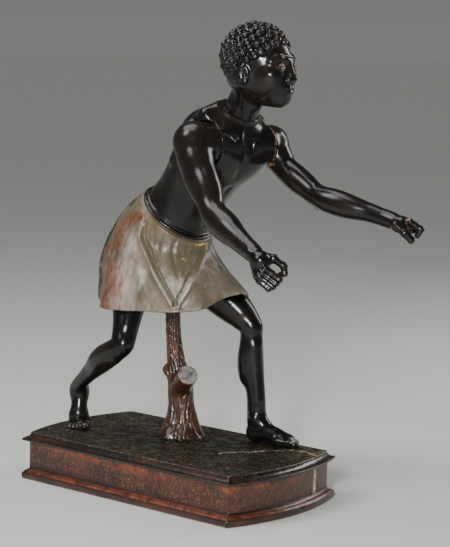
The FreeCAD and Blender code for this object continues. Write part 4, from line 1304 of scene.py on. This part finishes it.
def head_clay():
    clay = Clay((44, -28, 372), (136, 54, 482), 0.64)
    face = turned(about_z=math.degrees(FACE_TURN))

    def hegg(f, l, u, radii, extra=None):
        axes = face if extra is None else turned(**extra) @ face
        return egg(head_point(f, l, u), radii, axes)

    # skull, full cheeks, jaw and chin
    clay.add(hegg(-5, 0, 11, (33.0, 28.5, 29.5)))
    clay.add(hegg(8.5, 0, -4, (25, 24, 31)), 8)
    clay.add(hegg(-9, 0, -8, (25, 26.5, 22)), 8)
    clay.add(hegg(12, 0, -24, (17.5, 17.5, 12.5)), 9)
    clay.add(hegg(23.5, 0, -31.5, (8.5, 9, 6.5)), 7)
    for s in (-1, 1):
        clay.add(hegg(19, 13.5 * s, -13, (10.5, 9.5, 11)), 9)
        clay.add(hegg(20, 16 * s, -6, (8, 7, 5)), 8)
        clay.add(bone(head_point(31.0, 5 * s, 7.2), head_point(27.0, 13 * s, 8.8),
                      2.2, 2.0), 6)
        clay.add(bone(head_point(27.0, 13 * s, 8.8), head_point(22.5, 19 * s, 6.0),
                      2.0, 1.6), 6)
        clay.cut(hegg(37.0, 11.0 * s, 1.5, (5.0, 6.5, 4.6)), 6)
    # nose and mouth
    clay.add(bone(head_point(30.5, 0, 6), head_point(35.8, 0, -8.5), 2.6, 3.2), 5)
    clay.add(hegg(37.2, 0, -10.2, (3.7, 4.3, 3.5)), 2.5)
    for s in (-1, 1):
        clay.add(hegg(34.4, 4.7 * s, -11.4, (3.9, 3.2, 2.9)), 2.0)
        clay.cut(hegg(36.2, 2.6 * s, -14.4, (1.9, 1.2, 1.4)), 0.8)
    clay.add(hegg(28.5, 0, -19.5, (6.2, 11, 8.5)), 6)
    for s in (-1, 1):
        clay.add(hegg(32.6, 3.0 * s, -18.9, (3.0, 5.2, 2.0)), 2.0)
    clay.add(hegg(32.2, 0, -23.6, (3.2, 7.0, 2.4)), 2.0)
    lips = [head_point(f, l, u) for f, l, u in
            ((30.8, -9.2, -21.4), (33.6, -5.5, -21.1), (35.9, -1.8, -21.0),
             (36.1, 0, -21.4), (35.9, 1.8, -21.0), (33.6, 5.5, -21.1),
             (30.8, 9.2, -21.4))]
    chain(clay.cut, lips, 0.5, 0.9)
    clay.cut(bone(head_point(34.9, 0, -15.2), head_point(35.4, 0, -17.0),
                  0.7, 0.8), 1.6)
    # lids, with the inlaid eye showing between them
    for s in (-1, 1):
        clay.add(hegg(26.9, 11.5 * s, 0, (6.3, 6.9, 5.8)), 2.0)
        for up_by, edge in ((1.75, 0.75), (-2.0, 0.55)):
            lid = [head_point(f, l * s, u) for f, l, u in
                   ((30.6, 6.1, -0.3), (32.3, 8.2, up_by * 0.80),
                    (33.0, 11.2, up_by), (31.8, 14.6, up_by * 0.75),
                    (29.4, 17.0, -0.5))]
            chain(clay.add, lid, edge, 0.5)
        clay.cut(hegg(34.4, 11.5 * s, -0.1, (4.6, 4.9, 1.55)), 0.3)
        crease = [head_point(f, l * s, u) for f, l, u in
                  ((31.4, 6.4, 2.6), (33.3, 11.0, 4.1), (29.6, 17.2, 2.2))]
        chain(clay.cut, crease, 0.4, 1.0)
        clay.cut(hegg(27.5, 11.5 * s, 0, (5.62, 5.62, 5.62)), 0.0)
    # ears
    for s in (-1, 1):
        lean = dict(about_z=-14 * s)
        clay.add(hegg(-3.0, 28.0 * s, -6.5, (6.2, 2.8, 9.2), lean), 2.0)
        clay.cut(hegg(-1.8, 31.2 * s, -5.6, (4.0, 2.2, 6.4), lean), 1.0)
        clay.add(bone(head_point(-4.8, 29.0 * s, -1.5),
                      head_point(-4.2, 29.2 * s, -9), 1.1, 1.0), 1.0)
        clay.cut(hegg(-0.6, 30.4 * s, -8.2, (2.2, 2.6, 2.6), lean), 1.0)
        clay.add(hegg(-1.2, 28.0 * s, -13.6, (3.0, 2.2, 3.0), lean), 1.4)
    # neck: column, and a hint of the two long front muscles
    for a, b in zip(NECK, NECK[1:]):
        clay.add(bone(a[:3], b[:3], a[3], b[3]), 6)
    for s in (-1, 1):
        clay.add(bone(head_point(-7, 19 * s, -17), vec(70, 16 + 5 * s, 389),
                      4.6, 3.6), 8)
    add_hair(clay)
    clay.keep_side(WAIST + SPINE * NECK_SEAM, LEAN)
    return clay


NECK = [vec(60, 16, 384, 17), vec(66, 16, 396, 15.6), vec(75, 15, 408, 15.6),
        vec(84, 14, 420, 18)]


def hairline(f):
    """Lowest height of the hair for each distance forward."""
    return np.interp(f, [-42, -30, -14, -8, 2, 6, 12, 18, 24, 30],
                     [-24, -22, -18, 2, 4, 1, 4, 12, 20, 30])


def add_hair(clay):
    """Rows of tight round carved curls over the skull."""
    count = 205
    golden = math.pi * (3 - math.sqrt(5))
    rng = np.random.default_rng(5)
    for k in range(count):
        up = 1 - 2 * (k + 0.5) / count
        ring = math.sqrt(1 - up * up)
        a = golden * k
        way = vec(ring * math.cos(a), ring * math.sin(a), up)
        f, l, u = vec(-5, 0, 10) + way * vec(33.4, 29.0, 31.0)
        if u < hairline(f) + 2.5:
            continue
        centre = head_point(f, l, u)
        c, s = math.cos(FACE_TURN), math.sin(FACE_TURN)
        n = unit(way / vec(33.4, 29.0, 31.0))
        n = unit(vec(n[0] * c - n[1] * s, n[0] * s + n[1] * c, n[2])
                 + rng.normal(0, 0.10, 3))
        size = rng.uniform(0.90, 1.12)
        centre = centre + n * rng.uniform(-0.3, 0.5)
        clay.add(egg(centre, (4.1 * size,) * 3), 0.5)
        clay.cut(curl(centre + n * 3.7 * size, n, 1.75 * size, 0.62), 0.5)
        clay.cut(egg(centre + n * 4.9 * size, (0.8, 0.8, 0.8)), 0.5)


# ---- tree trunk -------------------------------------------------------------
TRUNK = [(-13, 23, 48.6, 22.0), (-14, 23, 60, 16.8), (-15, 23, 80, 14.2),
         (-17, 23, 105, 13.5), (-21, 22, 122, 10.5), (-25, 21, 150, 8.6),
         (-27, 20, 186, 8.4), (-28, 20, 216, 8.4)]
RIGHT_STUB = (vec(-15, 20, 99.5), unit(vec(0.70, -0.36, 0.62)), 29.0)
LEFT_STUB = (vec(-18, 22, 105), unit(vec(-0.60, -0.30, 0.74)), 22.0)


def trunk_clay():
    clay = Clay((-48, -10, 47), (22, 56, 212), 0.6)
    for a, b in zip(eased(TRUNK, 4), eased(TRUNK, 4)[1:]):
        clay.add(bone(a[:3], b[:3], a[3] - 0.6, b[3] - 0.6), 0.6)
    for k in range(6):
        a = math.radians(60 * k + 22)
        out = vec(math.cos(a), math.sin(a), 0)
        clay.add(bone(vec(-14, 23, 78) + out * 9, vec(-13, 23, 50) + out * 19,
                      4.0, 4.6), 4)
    for k in range(13):
        a = math.radians(360 / 13 * k + 9 * math.sin(2.3 * k))
        out = vec(math.cos(a), math.sin(a), 0)
        far = 21.6 + 1.8 * math.sin(4.1 * k)
        clay.add(bone(vec(-13.5, 23, 56.0) + out * 14, vec(-13, 23, 48.2)
                      + out * far, 3.4, 2.4), 5)
    start, way, long = RIGHT_STUB
    clay.add(log_end(start, start + way * long, 11.6, 10.6), 3)
    clay.add(bone(start + way * (long - 3.0), start + way * (long - 1.6),
                  10.9, 10.9, way, 3.2), 1.0)
    clay.cut(egg(start + way * (long + 2.0), (9.2, 9.2, 3.2),
                 np.array([unit(np.cross(way, vec(0, 0, 1))),
                           unit(np.cross(way, np.cross(way, vec(0, 0, 1)))),
                           way])), 0.6)
    start, way, long = LEFT_STUB
    clay.add(bone(start, start + way * (long - 5.5), 7.6, 6.3), 3)
    clay.keep_side(vec(0, 0, GROUND_Z), vec(0, 0, 1))
    clay.keep_side(vec(0, 0, CEILING_Z), vec(0, 0, -1))
    return clay


def sawn_face(points, normals):
    start, way, long = RIGHT_STUB
    off = (points - start) @ way
    wide = np.linalg.norm(points - start - off[:, None] * way, axis=1)
    return (smooth(off, long - 4.0, long - 2.6) * (1 - smooth(wide, 11, 13))
            * smooth(normals @ way, 0.55, 0.8))


def bark(points, normals):
    """Wavy furrows running up the trunk, and small ticks on the stem."""
    x, y, z = points.T
    middle = np.array([np.interp(z, [r[2] for r in TRUNK], [r[c] for r in TRUNK])
                       for c in (0, 1)])
    a = np.arctan2(y - middle[1], x - middle[0])
    radius = np.interp(z, [r[2] for r in TRUNK], [r[3] for r in TRUNK])
    start, way = RIGHT_STUB[:2]
    rel = points - start
    along_stub = rel @ way
    off = np.linalg.norm(rel - along_stub[:, None] * way, axis=1)
    on_stub = smooth(along_stub, 11, 17) * (1 - smooth(off, 12, 14))
    wander = 1.1 * value_noise(points * vec(1, 1, 0.5), 17.0, 71) + (
        0.35 * value_noise(points, 6.0, 72))
    count = 15
    wave = np.sin(count * a + 6.0 * wander)
    furrow = -smooth(wave, 0.25, 0.95)
    low = 1 - smooth(z, 118, 130)
    relief = 0.95 * furrow * (0.55 + 0.45 * low)
    tick = np.sin(a * 5 + z * 0.62 + 2.2 * value_noise(points, 9, 73))
    relief -= 0.45 * smooth(tick, 0.6, 0.95) * (1 - low)
    relief += 0.35 * value_noise(points * vec(1, 1, 0.4), 3.6, 74)
    relief *= 1 - on_stub * 0.75
    relief *= 1 - sawn_face(points, normals)
    relief *= smooth(z, GROUND_Z, GROUND_Z + 3)
    flat = normals[:, 2] < -0.7
    relief[flat | (z > CEILING_Z - 1)] = 0
    return relief


# ---- plinth -----------------------------------------------------------------
END_RADIUS = (HALF_WIDTH ** 2 + END_BOW ** 2) / (2 * END_BOW)
END_MIDDLE = HALF_STRAIGHT + END_BOW - END_RADIUS


def end_x(inset, y):
    return END_MIDDLE + np.sqrt((END_RADIUS - inset) ** 2 - y ** 2)


def outline_loop(inset, nx, ny):
    """Points round the outline, going front, right end, rear, left end."""
    y = HALF_WIDTH - inset
    corner = end_x(inset, y)
    fx = np.linspace(-1, 1, nx)
    fy = np.linspace(-1, 1, ny)
    front = np.stack([fx * corner, np.full(nx, -y)], 1)[:-1]
    right = np.stack([end_x(inset, fy * y), fy * y], 1)[:-1]
    rear = np.stack([-fx * corner, np.full(nx, y)], 1)[:-1]
    left = np.stack([-end_x(inset, -fy * y), -fy * y], 1)[:-1]
    return np.vstack([front, right, rear, left])


CRACK = [(62.8, -12.9), (73, 3.8), (81.7, 17.7), (93, 35.7), (105.4, 50.9),
         (108.6, 58.6), (123, 57.5), (132, 55.6), (151, 47.4)]
COVE_STEPS = 9


def build_slab():
    nx, ny = 372, 196
    inset = ARRIS_INSET
    y = np.linspace(-1, 1, ny)[:, None] * (HALF_WIDTH - inset)
    x = np.linspace(-1, 1, nx)[None, :] * end_x(inset, y)
    y = np.broadcast_to(y, x.shape)
    rng = np.random.default_rng(11)
    drop = np.zeros(x.shape)
    for _ in range(880):
        cx, cy = rng.uniform(-150, 150), rng.uniform(-78, 78)
        a = rng.normal(0.25, 0.55)
        long, wide = rng.uniform(4, 11), rng.uniform(1.2, 2.5)
        deep = rng.uniform(0.35, 1.05)
        c, s = math.cos(a), math.sin(a)
        p, q = (x - cx) * c + (y - cy) * s, -(x - cx) * s + (y - cy) * c
        near_it = 1 - (p / long) ** 2 - (q / wide) ** 2
        drop = np.maximum(drop, deep * np.clip(near_it, 0, 1) ** 0.8)
    flat = np.stack([x, y, 0 * x], -1)
    drop += 0.22 * (1 + value_noise(flat, 24, 81)) * 0.5
    drop += 0.10 * value_noise(flat, 4.0, 82)
    line = np.array(CRACK)
    dense = np.vstack([np.linspace(a, b, 24) for a, b in zip(line, line[1:])])
    gap = np.full(x.shape, 99.0)
    for px, py in dense:
        gap = np.minimum(gap, np.hypot(x - px, y - py))
    ragged = 0.35 * value_noise(flat, 3.0, 83)
    split = 1 - smooth(gap + ragged, 0.8, 1.8)
    drop += 1.1 * split
    border = np.minimum.reduce([HALF_WIDTH - inset - np.abs(y),
                                end_x(inset, y) - np.abs(x)])
    drop *= smooth(border, 0.0, 2.6)
    top = np.stack([x, y, GROUND_Z - drop], -1)
    loops, facts_edge = [], []
    profile = [(0.0, SLAB_UNDER_Z), (0.0, SLAB_UNDER_Z + 1.5)]
    for k in range(COVE_STEPS):
        a = 0.5 * math.pi * k / COVE_STEPS
        profile.append((ARRIS_INSET * math.sin(a), SLAB_UNDER_Z + 1.8
                        + (GROUND_Z - SLAB_UNDER_Z - 1.8) * (1 - math.cos(a))))
    for k, (i, z) in enumerate(profile):
        loop = outline_loop(i, nx, ny)
        p = np.column_stack([loop, np.full(len(loop), z)])
        wobble = 0.22 * value_noise(p, 19, 91) + 0.12 * value_noise(p, 5, 92)
        out = unit_rows(np.column_stack([loop, np.zeros(len(loop))]))
        dent = np.clip(value_noise(p * vec(1, 1, 0.3), 7.0, 93) - 0.45, 0, 1) * 1.6
        amount = wobble - dent * (k in (1, 2))
        if k:
            p = p + out * amount[:, None]
        loops.append(p)
        facts_edge.append(np.full(len(loop), 1.0 if k in (1, 2) else 0.0))
    around = len(loops[0])
    rim = np.concatenate([np.arange(nx - 1), (np.arange(ny - 1)) * nx + nx - 1,
                          (ny - 1) * nx + np.arange(nx - 1, 0, -1),
                          np.arange(ny - 1, 0, -1) * nx])
    points = np.vstack([top.reshape(-1, 3)] + loops
                       + [vec(0, 0, SLAB_UNDER_Z)[None]])
    j, i = np.meshgrid(np.arange(ny - 1), np.arange(nx - 1), indexing="ij")
    quads = np.stack([j * nx + i, j * nx + i + 1, (j + 1) * nx + i + 1,
                      (j + 1) * nx + i], -1).reshape(-1, 4).tolist()
    base = nx * ny
    rows = [base + k * around + np.arange(around) for k in range(len(loops))]
    rows.append(rim)
    for low, high in zip(rows, rows[1:]):
        quads += np.stack([low, np.roll(low, -1), np.roll(high, -1), high],
                          1).tolist()
    middle = len(points) - 1
    first = rows[0]
    quads += [[int(first[(k + 1) % around]), int(first[k]), middle]
              for k in range(around)]
    side_count = around * len(loops) + 1
    pit = np.concatenate([np.clip(drop * 0.9, 0, 1).ravel(),
                          np.zeros(side_count)])
    split_fact = np.concatenate([split.ravel() * (gap.ravel() < 1.6) * 0.9,
                                 np.zeros(side_count)])
    edge = np.concatenate([(1 - smooth(border, 0.2, 1.6)).ravel() * 0.5]
                          + facts_edge + [[0.0]])
    pale = smooth(x, 92, 150) * smooth(y, 10, 62)
    pale_side = np.concatenate([smooth(l[:, 0], 110, 150) * smooth(l[:, 1], 20, 60)
                                for l in loops] + [[0.0]])
    layers = {"pit": pit, "split": split_fact, "edge": edge,
              "pale": np.concatenate([pale.ravel(), pale_side])}
    make_piece("plinth_slab", points, quads, SLAB_STAIN,
               ["plinth_top"], layers)


def moulding_profile():
    rows = [(0.9, 0.0)]
    for k in range(11):
        a = math.pi * k / 10
        rows.append((0.9 - 0.9 * math.sin(a), 0.6 + 6.4 * (0.5 - 0.5 * math.cos(a))))
    rows += [(1.8, 7.4)]
    for k in range(7):
        a = 0.5 * math.pi * k / 6
        rows.append((1.8 + 5.2 * math.sin(a), 8.2 + 3.8 * (1 - math.cos(a))))
    return rows + [(7.0, 6.0), (7.0, 0.0)]


def build_moulding(name, node, side, seed):
    """One base moulding; side is front, right, rear or left."""
    stations = 300 if side in ("front", "rear") else 190
    part = np.linspace(-1, 1, stations)
    profile = moulding_profile()
    rings = []
    for inset, z in profile:
        y = HALF_WIDTH - inset
        corner = end_x(inset, y)
        if side in ("front", "rear"):
            s = -1 if side == "front" else 1
            p = np.stack([-s * part * corner, np.full(stations, s * y)], 1)
        else:
            s = 1 if side == "right" else -1
            p = np.stack([s * end_x(inset, part * y), s * part * y], 1)
        p = np.column_stack([p, np.full(stations, z)])
        if inset < 6.9 and z > 0:
            wobble = (0.18 * value_noise(p, 17, seed)
                      + 0.10 * value_noise(p, 4, seed + 1)
                      - 1.3 * np.clip(value_noise(p, 6, seed + 2) - 0.55, 0, 1))
            out = unit_rows(np.column_stack([p[:, :2], np.zeros(stations)]))
            if side in ("front", "rear"):
                out = np.tile(vec(0, -1 if side == "front" else 1, 0), (stations, 1))
            p = p + out * (wobble * (1 - smooth(z, 8.4, 10.0)))[:, None]
        rings.append(p)
    rings = np.array(rings)
    n, m = rings.shape[:2]
    k, j = np.meshgrid(np.arange(n), np.arange(m - 1), indexing="ij")
    up = (k + 1) % n
    quads = np.stack([k * m + j, k * m + j + 1, up * m + j + 1, up * m + j],
                     -1).reshape(-1, 4).tolist()
    quads.append([i * m for i in range(n)])
    quads.append([i * m + m - 1 for i in range(n - 1, -1, -1)])
    make_piece(name, rings.reshape(-1, 3), quads, MOULDING,
               [node])


# ---- put it together --------------------------------------------------------
def give(node, material):
    piece = bpy.data.objects[node]
    piece.data.materials.clear()
    piece.data.materials.append(material)


def nail_mask(nails):
    def measure(points, normals):
        found = np.zeros(len(points))
        for centre, radius in nails:
            gap = np.linalg.norm((points - centre) * vec(1, 1, 0.8), axis=1)
            found = np.maximum(found, (1 - smooth(gap, radius * 0.75, radius * 0.95)))
        return found * smooth(normals[:, 2], 0.35, 0.6)
    return measure


def worn_hand(points, normals):
    """Polish rubbed through by handling."""
    ragged = points + value_noise(points, 4.0, 55)[:, None] * 1.6
    knuckle = near(ragged, [vec(236.5, 59.5, 293.0)], 3.0)
    hollow = near(ragged, [vec(238.0, 57.0, 282.0), vec(236.0, 56.0, 279.5)], 4.2)
    return np.maximum(knuckle, hollow) * 0.9


build_kilt()
torso = torso_clay()
clay_piece(torso, "torso_carved", EBONY, ["torso"],
           {"bare": seat_mask}, seed=21)
right_arm = right_arm_clay()
clay_piece(right_arm, "right_arm_carved", EBONY, ["right_arm"],
           seed=31, carve=0.14)
left_arm = left_arm_clay()
clay_piece(left_arm, "left_arm_carved", EBONY, ["left_arm"],
           {"bare": seat_mask, "rubbed": worn_hand}, seed=41, carve=0.14)
right_leg, right_nails = right_leg_clay()
clay_piece(right_leg, "right_leg_carved", EBONY, ["right_leg"],
           {"nail": nail_mask(right_nails)}, seed=51, carve=0.16)
left_leg, left_nails = left_leg_clay()
clay_piece(left_leg, "left_leg_carved", EBONY, ["left_leg"],
           {"nail": nail_mask(left_nails)}, seed=61, carve=0.16)
head = head_clay()
clay_piece(head, "head_carved", EBONY, ["head"], seed=71,
           carve=0.08)
trunk = trunk_clay()
clay_piece(trunk, "tree_trunk_carved", TRUNK_WOOD,
           ["tree_trunk"], {"sawn": sawn_face}, seed=81, carve=0.1, relief=bark)
build_slab()
build_moulding("base_bead_front", "base_moulding_front", "front", 101)
build_moulding("base_bead_rear", "base_moulding_rear", "rear", 105)
build_moulding("base_bead_right_end", "base_moulding_right_end", "right", 109)
build_moulding("base_bead_left_end", "base_moulding_left_end", "left", 113)

for node in ("core_front_plank", "core_rear_plank"):
    give(node, FRIEZE)
give("joint_filler", filler_finish())
DOWEL = dowel_finish()
STEEL = steel_finish()
EYE = eye_finish()
for node in ("neck_dowel", "right_shoulder_dowel", "left_shoulder_dowel",
             "waist_dowel", "right_hip_dowel", "left_hip_dowel",
             "trunk_top_dowel"):
    give(node, DOWEL)
for node in ("trunk_screw", "front_foot_pin", "rear_foot_pin"):
    give(node, STEEL)
for node in ("right_eye", "left_eye"):
    give(node, EYE)


# ---- floor, lights, camera --------------------------------------------------
def build_stage():
    mesh = bpy.data.meshes.new("floor")
    far = 60.0
    mesh.from_pydata([(-far, -far, 0), (far, -far, 0), (far, far, 0),
                      (-far, far, 0)], [], [(0, 1, 2, 3)])
    f = Finish("floor_paper")
    mesh.materials.append(f.done((0.60, 0.61, 0.58), 0.8, shine=0.2))
    floor = bpy.data.objects.new("floor", mesh)
    bpy.context.scene.collection.objects.link(floor)


def lamp(name, place, aim, size, power, tint=(1, 1, 1)):
    data = bpy.data.lights.new(name, "AREA")
    data.shape = "RECTANGLE"
    data.size, data.size_y = size
    data.energy, data.color = power, tint
    light = bpy.data.objects.new(name, data)
    place, aim = np.asarray(place, float), np.asarray(aim, float)
    light.location = place * MM
    light.rotation_mode = "QUATERNION"
    light.rotation_quaternion = Vector((aim - place).tolist()).to_track_quat(
        "-Z", "Y")
    bpy.context.scene.collection.objects.link(light)


def add_room():
    """Even grey surroundings that darken overhead."""
    world = bpy.data.worlds.new("room")
    world.use_nodes = True
    sky = world.node_tree
    rise = sky.nodes.new("ShaderNodeSeparateXYZ")
    around = sky.nodes.new("ShaderNodeTexCoord").outputs["Generated"]
    sky.links.new(around, rise.inputs[0])
    fade = sky.nodes.new("ShaderNodeValToRGB")
    near_floor, overhead = fade.color_ramp.elements
    near_floor.color = (0.201, 0.206, 0.196, 1)
    overhead.color, overhead.position = (0.075, 0.078, 0.075, 1), 0.32
    sky.links.new(rise.outputs[2], fade.inputs["Fac"])
    sky.links.new(fade.outputs["Color"], sky.nodes["Background"].inputs["Color"])
    bpy.context.scene.world = world


def add_window():
    """Weak wide daylight from one side."""
    data = bpy.data.lights.new("window", "SUN")
    data.energy, data.angle = 1.1, math.radians(25)
    window = bpy.data.objects.new("window", data)
    window.rotation_euler = (math.radians(38), math.radians(-22), 0)
    bpy.context.scene.collection.objects.link(window)


def place_camera():
    """Looks at the figure from its front right, a little above."""
    azimuth, elevation, roll = 40.01, 7.38, 1.27
    away, aim = 1800.0, vec(59.8, 0, 228.3)
    a, e = math.radians(azimuth), math.radians(elevation)
    back = vec(math.sin(a) * math.cos(e), -math.cos(a) * math.cos(e), math.sin(e))
    data = bpy.data.cameras.new("view")
    data.sensor_width = 36.0
    data.lens = 119.2
    data.clip_start, data.clip_end = 0.05, 50
    camera = bpy.data.objects.new("view", data)
    camera.location = (aim + back * away) * MM
    camera.rotation_mode = "QUATERNION"
    turn = Vector((-back).tolist()).to_track_quat("-Z", "Y")
    camera.rotation_quaternion = turn @ Quaternion((0, 0, 1), math.radians(roll))
    bpy.context.scene.collection.objects.link(camera)
    bpy.context.scene.camera = camera


build_stage()
place_camera()
lamp("key", (930, -1500, 760), (60, 0, 240), (0.20, 0.20), 27)
lamp("front", (1010, -1450, 560), (60, 0, 240), (0.11, 0.11), 8)
lamp("overhead", (-300, -200, 1500), (40, 0, 200), (1.0, 1.0), 12)
lamp("rim", (500, 1500, 900), (60, 20, 250), (0.5, 1.0), 10)
add_room()
add_window()
